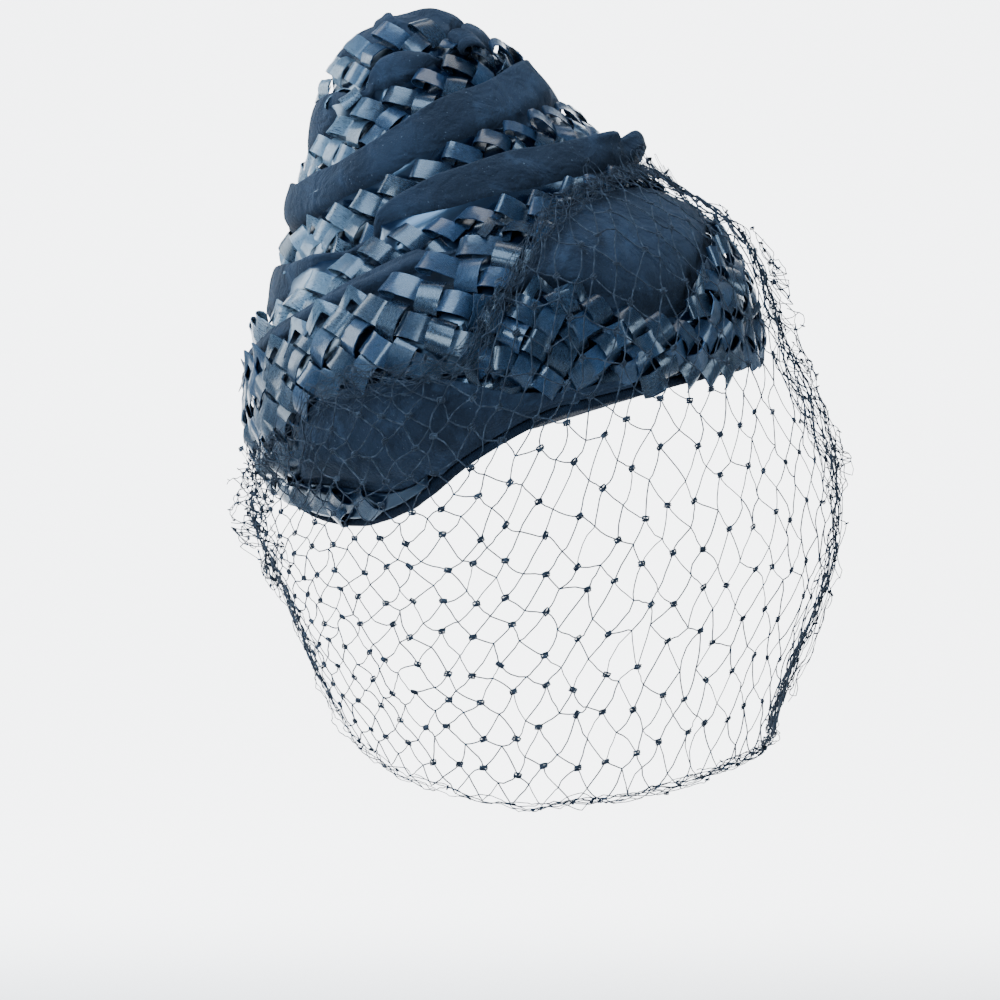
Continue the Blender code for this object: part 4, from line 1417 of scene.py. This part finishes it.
def tie(threads, first, second, slack, chance):
    """A slack length of thread between two spots, with a kink or two."""
    a, b = threads.points[first], threads.points[second]
    bow = Vector([chance.gauss(0, 1) for _ in range(3)]).normalized()
    bow = bow * slack * (b - a).length * chance.random()
    bow.z -= 0.25 * slack * (b - a).length
    places = (chance.uniform(0.18, 0.32), 0.5, chance.uniform(0.68, 0.82))
    spots = [first]
    for place in places:
        sag = math.sin(math.pi * place) ** 0.7
        kink = Vector([chance.gauss(0, THREAD_KINK) for _ in range(3)])
        spots.append(threads.spot(a.lerp(b, place) + bow * sag + kink))
    spots.append(second)
    threads.edges += list(zip(spots, spots[1:]))


def make_net(sizes, knotting_tree):
    """The veil: diamonds of slack thread, with woven knots on every other row of crossings."""
    chance = random.Random(sizes.seed)
    threads = Threads()
    columns, rows = sizes.net_columns, sizes.net_rows
    spots = {}
    for column in range(2 * columns + 1):
        for row in range(2 * rows + 1):
            if (column + row) % 2:
                continue
            shift = NET_SHIFT if 0 < row < 2 * rows else 0.0
            across = min(max((column + chance.uniform(-shift, shift)) / (2 * columns), 0.0), 1.0)
            down = (row + chance.uniform(-shift, shift)) / (2 * rows)
            point = net_point(across, down)
            sway = Vector((math.sin(point.z * 90), math.cos(point.x * 80), 0)) * NET_SWAY
            spots[column, row] = threads.spot(point + sway * blend_in(down, 0.3, 0.6))
            if row % 2 == 0 and 0 < row < 2 * rows:
                threads.knot(spots[column, row], net_turn(across, down, chance))
    for (column, row), spot in list(spots.items()):
        for side in (-1, 1):
            other = spots.get((column + side, row + 1))
            if other is not None:
                tie(threads, spot, other, sizes.thread_slack, chance)
    return knotting_tree.apply("veil_net_threads", threads.mesh("net_lines"))


# The heading: one strand in how many runs its whole length, steps along it, its spread at the left and how
# much narrower it is further on, how far strands rise, stray and tremble, the azimuths of the tuft of loops
# near its right end, the hat's radius there, and the steps round a loop
WHOLE_STRAND = 4
HEADING_STEPS = 110
HEADING_BREADTH = 0.0036
HEADING_NARROWING = 0.0020
STRAND_RISE = 0.0008
STRAND_STRAY = 0.0070
STRAND_TREMBLE = 0.0012
TUFT = (56, 76)
TUFT_RADIUS = 0.11
LOOP_STEPS = 16


def make_heading(sizes, knotting_tree):
    """The gathered top edge: a loose skein laid across the brim, with loops that have worked out of it."""
    chance = random.Random(sizes.seed + 1)
    threads = Threads()
    first, last = HEADING_LINE[0][0], HEADING_LINE[-1][0]
    for strand in range(sizes.heading_threads):
        start = chance.uniform(0.0, 0.7) if strand % WHOLE_STRAND else 0.0
        end = min(1.0, start + chance.uniform(0.25, 0.6)) if strand % WHOLE_STRAND else 1.0
        drift, spread = wander(chance, 1.0), chance.gauss(0, 1.0)
        rise = abs(chance.gauss(0, STRAND_RISE))
        line = []
        count = max(8, round(HEADING_STEPS * (end - start)))
        for k in range(count + 1):
            share = start + (end - start) * k / count
            azimuth = first + (last - first) * share
            stray = drift(share * 30 + strand)
            fine = drift(share * 120 + strand + 50)
            broad = HEADING_BREADTH - HEADING_NARROWING * blend_in(azimuth, -34, -6)
            height = heading_height(azimuth) + spread * broad
            height += stray.z * STRAND_STRAY + fine.z * STRAND_TREMBLE
            offset = HEADING_OFFSET + rise + stray.x * 0.0014
            line.append(leaned(outline_point(azimuth + stray.y * 2.0, height, offset)))
        threads.strand(line)
    for index in range(sizes.heading_loops):
        azimuth = chance.uniform(*TUFT) if index % 5 == 0 else first + (last - first) * chance.random()
        size = chance.uniform(0.004, 0.009)
        base = heading_height(azimuth) - 0.4 * size
        reach = chance.uniform(0.2, 0.8)
        line = []
        for k in range(LOOP_STEPS + 1):
            a = math.pi * (0.1 + 1.9 * k / LOOP_STEPS)
            height = base + size * (1 - math.cos(a)) * 0.6 + chance.uniform(-0.0003, 0.0003)
            offset = HEADING_OFFSET + 0.0005 + size * reach * (1 - math.cos(a)) * 0.5
            at = azimuth + math.degrees(size * math.sin(a) * 0.5 / TUFT_RADIUS)
            line.append(leaned(outline_point(at, height, offset)))
        spots = threads.strand(line)
        if index % 3 == 0:
            threads.knot(spots[LOOP_STEPS // 2], any_turn(chance))
    return knotting_tree.apply("veil_heading_threads", threads.mesh("heading_lines"),
                               Thread_Radius=sizes.heading_radius)


def hem_line():
    """The veil's drawn edge: down one side a little, round below the face, and up inside the other side."""
    line = [net_point(0.03 * (1 - k / 12), 0.50 + 0.5 * k / 12) for k in range(12)]
    line += [net_point(k / 60, 1.0) for k in range(61)]
    line += [net_point(1.0 - 0.10 * k / 20, 1.0 - 0.6 * k / 20) for k in range(1, 21)]
    return line


def make_hem(sizes, knotting_tree):
    """The drawn hem: a few threads on the wearer's right that become a thick skein on the left."""
    chance = random.Random(sizes.seed + 2)
    threads = Threads()
    line = hem_line()
    last = len(line) - 1
    for strand in range(sizes.hem_threads):
        begin = 0 if strand % 6 == 0 else int(last * (0.28 + 0.5 * (1 - chance.random() ** 1.4)))
        until = last if strand % 5 == 0 else min(int(last * chance.uniform(0.74, 0.92)),
                                                 begin + int(last * chance.uniform(0.2, 0.6)))
        drift = wander(chance, 1.0)
        shift = Vector([chance.gauss(0, 0.0010) for _ in range(3)])
        run = []
        for k in range(begin, until):
            for part in (0.0, 0.33, 0.67):
                near = line[k].lerp(line[k + 1], part)
                loose = 0.0030 + 0.0035 * blend_in(k / last, 0.78, 1.0)
                stray = drift((k + part) * 0.5 + strand) * loose + drift((k + part) * 2.4 + strand) * 0.0007
                run.append(near + shift + stray)
        if len(run) > 6:
            spots = threads.strand(run)
            for n in range(9, len(spots), 34):
                threads.knot(spots[n], any_turn(chance))
    return knotting_tree.apply("veil_hem_threads", threads.mesh("hem_lines"),
                               Thread_Radius=FINER_THREAD * sizes.thread_radius,
                               Knot_Size=SMALLER_KNOT * sizes.knot_size)


# Slack folds of net beside the main one: where each starts and how wide it is across the veil, where it
# starts and ends down the veil, how far it strays in metres, and its diamonds across and down
SLACK_FOLDS = (
    (0.000, 0.07, 0.06, 0.62, 0.0150, 3, 9), (0.000, 0.05, 0.16, 0.56, 0.0220, 2, 8),
    (0.005, 0.10, 0.02, 0.36, 0.0080, 4, 7), (0.935, 0.06, 0.10, 0.60, 0.0150, 3, 14),
    (0.950, 0.05, 0.16, 0.52, 0.0240, 3, 13), (0.890, 0.10, 0.04, 0.32, 0.0100, 4, 7),
    (0.910, 0.07, 0.45, 0.92, 0.0120, 2, 9),
)


def make_sides(sizes, knotting_tree):
    """Slack folds of net at both sides, where the veil is gathered and its knots crowd together."""
    chance = random.Random(sizes.seed + 3)
    threads = Threads()
    for start, width, top, low, stray, columns, rows in SLACK_FOLDS:
        drift = wander(chance, stray)
        spots = {}
        for column in range(2 * columns + 1):
            for row in range(2 * rows + 1):
                if (column + row) % 2:
                    continue
                across = start + width * (column + chance.uniform(-0.4, 0.4)) / (2 * columns)
                across = min(max(across, 0.0), 1.0)
                down = top + (low - top) * (row + chance.uniform(-0.5, 0.5)) / (2 * rows)
                place = net_point(across, down) + drift(row * 0.20 + column * 0.30)
                spots[column, row] = threads.spot(place)
                if row % 2 == 0 and chance.random() < 0.55:
                    threads.knot(spots[column, row], any_turn(chance))
        for (column, row), spot in list(spots.items()):
            for side in (-1, 1):
                other = spots.get((column + side, row + 1))
                if other is not None and chance.random() < 0.85:
                    tie(threads, spot, other, 1.6 * sizes.thread_slack, chance)
    return knotting_tree.apply("veil_side_threads", threads.mesh("side_lines"),
                               Thread_Radius=FINER_THREAD * sizes.thread_radius,
                               Knot_Size=SMALLER_KNOT * sizes.knot_size)


class HatClothSizes(bpy.types.PropertyGroup):
    fold_radius: FloatProperty(name="Fold radius", description="Radius of a band's folded upper edge",
                               default=0.0012, min=0.0002, max=0.004, unit="LENGTH")
    crease_depth: FloatProperty(name="Crease depth", description="Depth of the soft creases across a band",
                                default=0.0014, min=0.0, max=0.004, unit="LENGTH")
    edge_wobble: FloatProperty(name="Edge wobble", description="How far a band's upper edge wanders",
                               default=0.0022, min=0.0, max=0.005, unit="LENGTH")
    column_step: FloatProperty(name="Column step", description="Degrees between a band's sections",
                               default=2.0, min=1.0, max=6.0)


class HatStrawSizes(bpy.types.PropertyGroup):
    crown_strip_width: FloatProperty(name="Crown strip width", description="Width of the crown's strips",
                                     default=0.0092, min=0.005, max=0.02, unit="LENGTH")
    brim_strip_width: FloatProperty(name="Brim strip width", description="Width of the upper plait's strips",
                                    default=0.0106, min=0.005, max=0.02, unit="LENGTH")
    lower_strip_width: FloatProperty(name="Lower strip width",
                                     description="Width of the lower plait's strips",
                                     default=0.0094, min=0.005, max=0.02, unit="LENGTH")
    strip_thickness: FloatProperty(name="Strip thickness", description="Thickness of one straw strip",
                                   default=0.00035, min=0.0001, max=0.001, unit="LENGTH")
    wrinkle: FloatProperty(name="Wrinkle", description="Depth of the wrinkles along a strip", default=0.00028,
                           min=0.0, max=0.002, unit="LENGTH")
    strip_lift: FloatProperty(name="Strip lift", description="Height of the strips over the plait's ground",
                              default=0.0007, min=0.0, max=0.003, unit="LENGTH")
    strip_shake: FloatProperty(name="Strip shake", description="Random tilt of each crossing", default=0.115,
                               min=0.0, max=0.4, subtype="ANGLE")
    edge_drop: FloatProperty(name="Edge drop", description="How far the top crossings lie below the edge",
                             default=0.0002, min=-0.003, max=0.003, unit="LENGTH")
    crumple: FloatProperty(name="Crumple", description="How far the strips are crumpled", default=0.0008,
                           min=0.0, max=0.004, unit="LENGTH")
    crumple_scale: FloatProperty(name="Crumple scale", description="Crumples in each metre", default=150.0,
                                 min=10.0, max=900.0)
    seed: IntProperty(name="Seed", description="Changes the random tilts", default=11, min=0)


class HatVeilSizes(bpy.types.PropertyGroup):
    thread_radius: FloatProperty(name="Thread radius", description="Radius of the veil's thread",
                                 default=0.00027, min=0.00005, max=0.001, unit="LENGTH")
    heading_radius: FloatProperty(name="Heading radius", description="Radius of the gathered edge's thread",
                                  default=0.00014, min=0.00005, max=0.001, unit="LENGTH")
    thread_sides: IntProperty(name="Thread sides", description="Sides of each thread", default=4, min=3,
                              max=8)
    knot_size: FloatProperty(name="Knot size", description="Length of a woven knot", default=0.0031,
                             min=0.0005, max=0.006, unit="LENGTH")
    net_columns: IntProperty(name="Net columns", description="Diamonds across the veil", default=28, min=6)
    net_rows: IntProperty(name="Net rows", description="Diamonds from heading to hem", default=13, min=4)
    thread_slack: FloatProperty(name="Thread slack", description="A thread's bow, as a share of its length",
                                default=0.16, min=0.0, max=0.5, subtype="FACTOR")
    heading_threads: IntProperty(name="Heading threads", description="Threads in the gathered top edge",
                                 default=36, min=4)
    heading_loops: IntProperty(name="Heading loops", description="Loops that stand out of the top edge",
                               default=50, min=0)
    hem_threads: IntProperty(name="Hem threads", description="Threads in the drawn hem", default=26, min=4)
    seed: IntProperty(name="Seed", description="Changes the random lie of the threads", default=4, min=0)


def colour_property(name, description, default):
    """A colour that can be changed in the panel."""
    return FloatVectorProperty(name=name, description=description, default=default, size=3, min=0.0, max=1.0,
                               subtype="COLOR")


class HatColours(bpy.types.PropertyGroup):
    cloth: colour_property("Cloth", "The crepe where light falls on it", (0.017, 0.027, 0.046))
    cloth_dark: colour_property("Cloth, deep", "The crepe in its deeper patches", (0.007, 0.012, 0.022))
    cloth_worn: colour_property("Cloth, rubbed", "The crepe where it is rubbed", (0.042, 0.062, 0.098))
    lint: colour_property("Lint", "Specks of lint on the crepe", (0.22, 0.25, 0.29))
    straw: colour_property("Straw", "The straw's fibres", (0.008, 0.015, 0.031))
    straw_dark: colour_property("Straw, deep", "Between the straw's fibres", (0.002, 0.004, 0.010))
    straw_bloom: colour_property("Straw bloom", "The blue-grey bloom of worn straw", (0.028, 0.048, 0.088))
    straw_brown: colour_property("Straw, faded", "Straw whose dye has gone", (0.070, 0.046, 0.020))
    # The painted glint's colour, mixed into the straw on the crown's left side.
    straw_painted_glint: colour_property("Straw, bleached", "Straw that the light has bleached", (0.34, 0.38, 0.40))
    thread: colour_property("Thread", "The veil's thread", (0.013, 0.017, 0.026))
    thread_light: colour_property("Thread, light", "The veil's thread where worn", (0.055, 0.066, 0.086))


class HatStageSizes(bpy.types.PropertyGroup):
    floor_drop: FloatProperty(name="Floor drop", description="How far the floor lies below the head opening",
                              default=0.34, min=0.14, max=2.0, unit="LENGTH")
    camera_distance: FloatProperty(name="Camera distance", description="From the camera to the hat's axis",
                                   default=0.835, min=0.3, max=5.0, unit="LENGTH")
    soft_light: FloatProperty(name="Soft light", description="Power of the large soft light", default=32.0,
                              min=0.0, unit="POWER")


def finish_of(name, make):
    """A finish that is made once and then shared."""
    found = bpy.data.materials.get(name)
    return found or make(bpy.context.scene.hat_colours)


def worn(piece, slot, *nodes):
    """The piece moves with the hat and stands for these nodes, which are hidden. The slot is not used."""
    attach(piece, "root")
    if nodes:
        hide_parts(*nodes)


class HAT_OT_cloth_bands(bpy.types.Operator):
    """Make the folded cloth bands of the brim and the crown"""

    bl_idname = "hat.cloth_bands"
    bl_label = "Cloth bands"

    def execute(self, context):
        material = finish_of("blue_black_crepe", cloth_finish)
        for wrap in WRAPS:
            if wrap.matter == CLOTH:
                piece = make_cloth_band(wrap, context.scene.hat_cloth, material)
                worn(piece, "cloth", wrap.name)
        return {"FINISHED"}


class HAT_OT_straw_plaits(bpy.types.Operator):
    """Make the straw plaits of the brim and the crown"""

    bl_idname = "hat.straw_plaits"
    bl_label = "Straw plaits"

    def execute(self, context):
        sizes = context.scene.hat_straw
        material = finish_of("plaited_straw", straw_finish)
        patterns = straw_patterns(sizes)
        making = plaiting(patterns, sizes, material)
        for wrap in WRAPS:
            if wrap.matter == STRAW:
                crossings = crossings_of(wrap, sizes)
                piece = making.apply(wrap.name + "_strips", points_mesh(wrap.name, crossings))
                worn(piece, "straw", wrap.name)
                worn(plait_ground(wrap, material), "straw")
        discard(patterns)
        return {"FINISHED"}


class HAT_OT_crown_cap(bpy.types.Operator):
    """Make the gathered cap at the tip and the doubled fold beside it"""

    bl_idname = "hat.crown_cap"
    bl_label = "Crown cap"

    def execute(self, context):
        material = finish_of("blue_black_crepe", cloth_finish)
        worn(make_crown_cap(material), "cloth", "crown_cap")
        worn(make_tip_fold(material), "cloth")
        return {"FINISHED"}


class HAT_OT_rim_facing(bpy.types.Operator):
    """Make the rolled rim and the headband"""

    bl_idname = "hat.rim_facing"
    bl_label = "Rim facing"

    def execute(self, context):
        material = finish_of("ribbed_facing", facing_finish)
        worn(make_rim_facing(material), "facing", "rim_facing")
        return {"FINISHED"}


class HAT_OT_veil(bpy.types.Operator):
    """Make the knotted veil, its gathered heading and its drawn hem"""

    bl_idname = "hat.veil"
    bl_label = "Veil"

    def execute(self, context):
        sizes = context.scene.hat_veil
        material = finish_of("veil_thread", thread_finish)
        knots = knot_patterns()
        tree = knotting(sizes, knots, material)
        worn(make_net(sizes, tree), "net", "veil_net")
        worn(make_heading(sizes, tree), "net", "veil_heading")
        worn(make_hem(sizes, tree), "net", "veil_hem")
        worn(make_sides(sizes, tree), "net")
        discard(knots)
        return {"FINISHED"}


HAT_AIM = (-0.01, 0.0, 0.03)
BACKDROP_AIM = (0.0, 1.6, 0.4)

# The soft lights: name, place, what each faces, size, share of the soft light's power, and colour
PANELS = (
    ("sky_panel", (-0.55, -0.75, 1.25), HAT_AIM, (0.9, 0.8), 1.0, (0.50, 0.73, 1.0)),
    ("left_panel", (-1.1, 0.38, 0.5), HAT_AIM, (0.6, 0.8), 0.38, (0.78, 0.90, 1.0)),
    ("front_panel", (-0.50, -1.10, 0.36), HAT_AIM, (0.42, 0.42), 0.34, (0.58, 0.79, 1.0)),
    ("right_panel", (1.10, -0.20, 0.34), HAT_AIM, (0.5, 0.5), 0.22, (0.60, 0.80, 1.0)),
    ("backdrop_panel", (0.0, 0.3, 1.9), BACKDROP_AIM, (2.0, 0.8), 0.625, (1.0, 1.0, 1.0)),
)
ROOM_COLOUR = (0.62, 0.80, 1.0, 1.0)
ROOM_STRENGTH = 0.27

# The camera's place beside and above the hat's own origin, its sensor and its lens in millimetres
CAMERA_ACROSS = -0.0092
CAMERA_HEIGHT = -0.0259
CAMERA_NEAREST = 0.01
SENSOR_WIDTH = 36.0
LENS = 72.0

# The floor: its half width, its near end, where it turns up, the radius of the turn, its top, and its glow
FLOOR_HALF_WIDTH = 4.0
FLOOR_NEAR = -3.0
FLOOR_MIDDLE = -1.0
FLOOR_FAR = 1.6
FLOOR_BEND = 0.6
FLOOR_BEND_STEPS = 8
FLOOR_TOP = 3.2
FLOOR_GLOW = 4.4


def soft_panel(name, place, aim, size, power, colour):
    """A large soft light that faces a point."""
    light = bpy.data.lights.new(name, "AREA")
    light.shape = "RECTANGLE"
    light.size, light.size_y = size
    light.energy = power
    light.color = colour
    piece = linked(name, light)
    piece.location = place
    piece.rotation_euler = (Vector(aim) - Vector(place)).to_track_quat("-Z", "Y").to_euler()


def make_floor(sizes):
    """A pale floor that sweeps up behind the hat."""
    skin = Skin()
    low, start = -sizes.floor_drop, FLOOR_FAR - FLOOR_BEND
    profile = [(FLOOR_NEAR, low), (FLOOR_MIDDLE, low), (start, low)]
    for k in range(1, FLOOR_BEND_STEPS + 1):
        a = math.radians(90 * k / FLOOR_BEND_STEPS)
        profile.append((start + FLOOR_BEND * math.sin(a), low + FLOOR_BEND * (1 - math.cos(a))))
    profile.append((FLOOR_FAR, FLOOR_TOP))
    first, second = ([skin.shape.verts.new(Vector((x, y, z))) for y, z in profile]
                     for x in (-FLOOR_HALF_WIDTH, FLOOR_HALF_WIDTH))
    for i in range(len(profile) - 1):
        skin.shape.faces.new((first[i], second[i], second[i + 1], first[i + 1]))
    finish = Finish("pale_paper")
    place = finish.node("ShaderNodeSeparateXYZ", None, {0: finish.place})
    across, back, high = (Value(finish, place.outputs[axis]) for axis in "XYZ")
    behind = finish.step(back, 0.10, 0.75) * (1.0 - finish.step(across.math("ABSOLUTE"), 0.60, 1.10))
    behind = behind * (1.0 - finish.step(high, 0.60, 1.30))
    paper = finish.mix(finish.noise(3.0), (0.60, 0.61, 0.62), (0.66, 0.665, 0.67))
    glow = finish.mix(behind, (0.0, 0.0, 0.0), (1.0, 1.0, 1.0))
    finish.set(Base_Color=paper, Roughness=0.9, Emission_Color=glow, Emission_Strength=FLOOR_GLOW)
    return skin.finished("studio_floor", finish.material)


class HAT_OT_stage(bpy.types.Operator):
    """Set the pale floor, the soft lights and the camera"""

    bl_idname = "hat.stage"
    bl_label = "Stage"

    def execute(self, context):
        sizes = context.scene.hat_stage
        make_floor(sizes)
        world = bpy.data.worlds.new("pale_room")
        world.use_nodes = True
        world.node_tree.nodes["Background"].inputs["Color"].default_value = ROOM_COLOUR
        world.node_tree.nodes["Background"].inputs["Strength"].default_value = ROOM_STRENGTH
        context.scene.world = world
        for name, place, aim, size, share, colour in PANELS:
            soft_panel(name, place, aim, size, sizes.soft_light * share, colour)
        camera = bpy.data.cameras.new("camera")
        camera.sensor_width, camera.lens = SENSOR_WIDTH, LENS
        camera.clip_start = CAMERA_NEAREST
        viewer = linked("camera", camera)
        viewer.location = (CAMERA_ACROSS, -sizes.camera_distance, CAMERA_HEIGHT)
        viewer.rotation_euler = (math.radians(90.0), 0.0, 0.0)
        context.scene.camera = viewer
        return {"FINISHED"}


class HAT_PT_panel(bpy.types.Panel):
    """The hat's sizes, colours and makers"""

    bl_label = "Turban Hat"
    bl_idname = "HAT_PT_panel"
    bl_space_type = "VIEW_3D"
    bl_region_type = "UI"
    bl_category = "Turban Hat"

    def draw(self, context):
        for title in PROPERTY_GROUPS:
            group = getattr(context.scene, title)
            box = self.layout.box()
            for key in group.__annotations__:
                box.prop(group, key)
        for operator in OPERATORS:
            self.layout.operator(operator.bl_idname)


PROPERTY_GROUPS = {
    "hat_cloth": HatClothSizes,
    "hat_straw": HatStrawSizes,
    "hat_veil": HatVeilSizes,
    "hat_colours": HatColours,
    "hat_stage": HatStageSizes,
}
OPERATORS = (
    HAT_OT_cloth_bands, HAT_OT_straw_plaits, HAT_OT_crown_cap, HAT_OT_rim_facing, HAT_OT_veil, HAT_OT_stage,
)


def register():
    """Makes the sizes, the operators and the panel known."""
    for kind in (*PROPERTY_GROUPS.values(), *OPERATORS, HAT_PT_panel):
        bpy.utils.register_class(kind)
    for title, kind in PROPERTY_GROUPS.items():
        setattr(bpy.types.Scene, title, PointerProperty(type=kind))


def unregister():
    """Takes back what register made known."""
    for title in PROPERTY_GROUPS:
        delattr(bpy.types.Scene, title)
    for kind in (HAT_PT_panel, *OPERATORS[::-1], *PROPERTY_GROUPS.values()):
        bpy.utils.unregister_class(kind)


def main():
    """Makes every piece and the stage."""
    register()
    bpy.ops.hat.cloth_bands()
    bpy.ops.hat.straw_plaits()
    bpy.ops.hat.crown_cap()
    bpy.ops.hat.rim_facing()
    bpy.ops.hat.veil()
    bpy.ops.hat.stage()


if __name__ == "__main__":
    main()
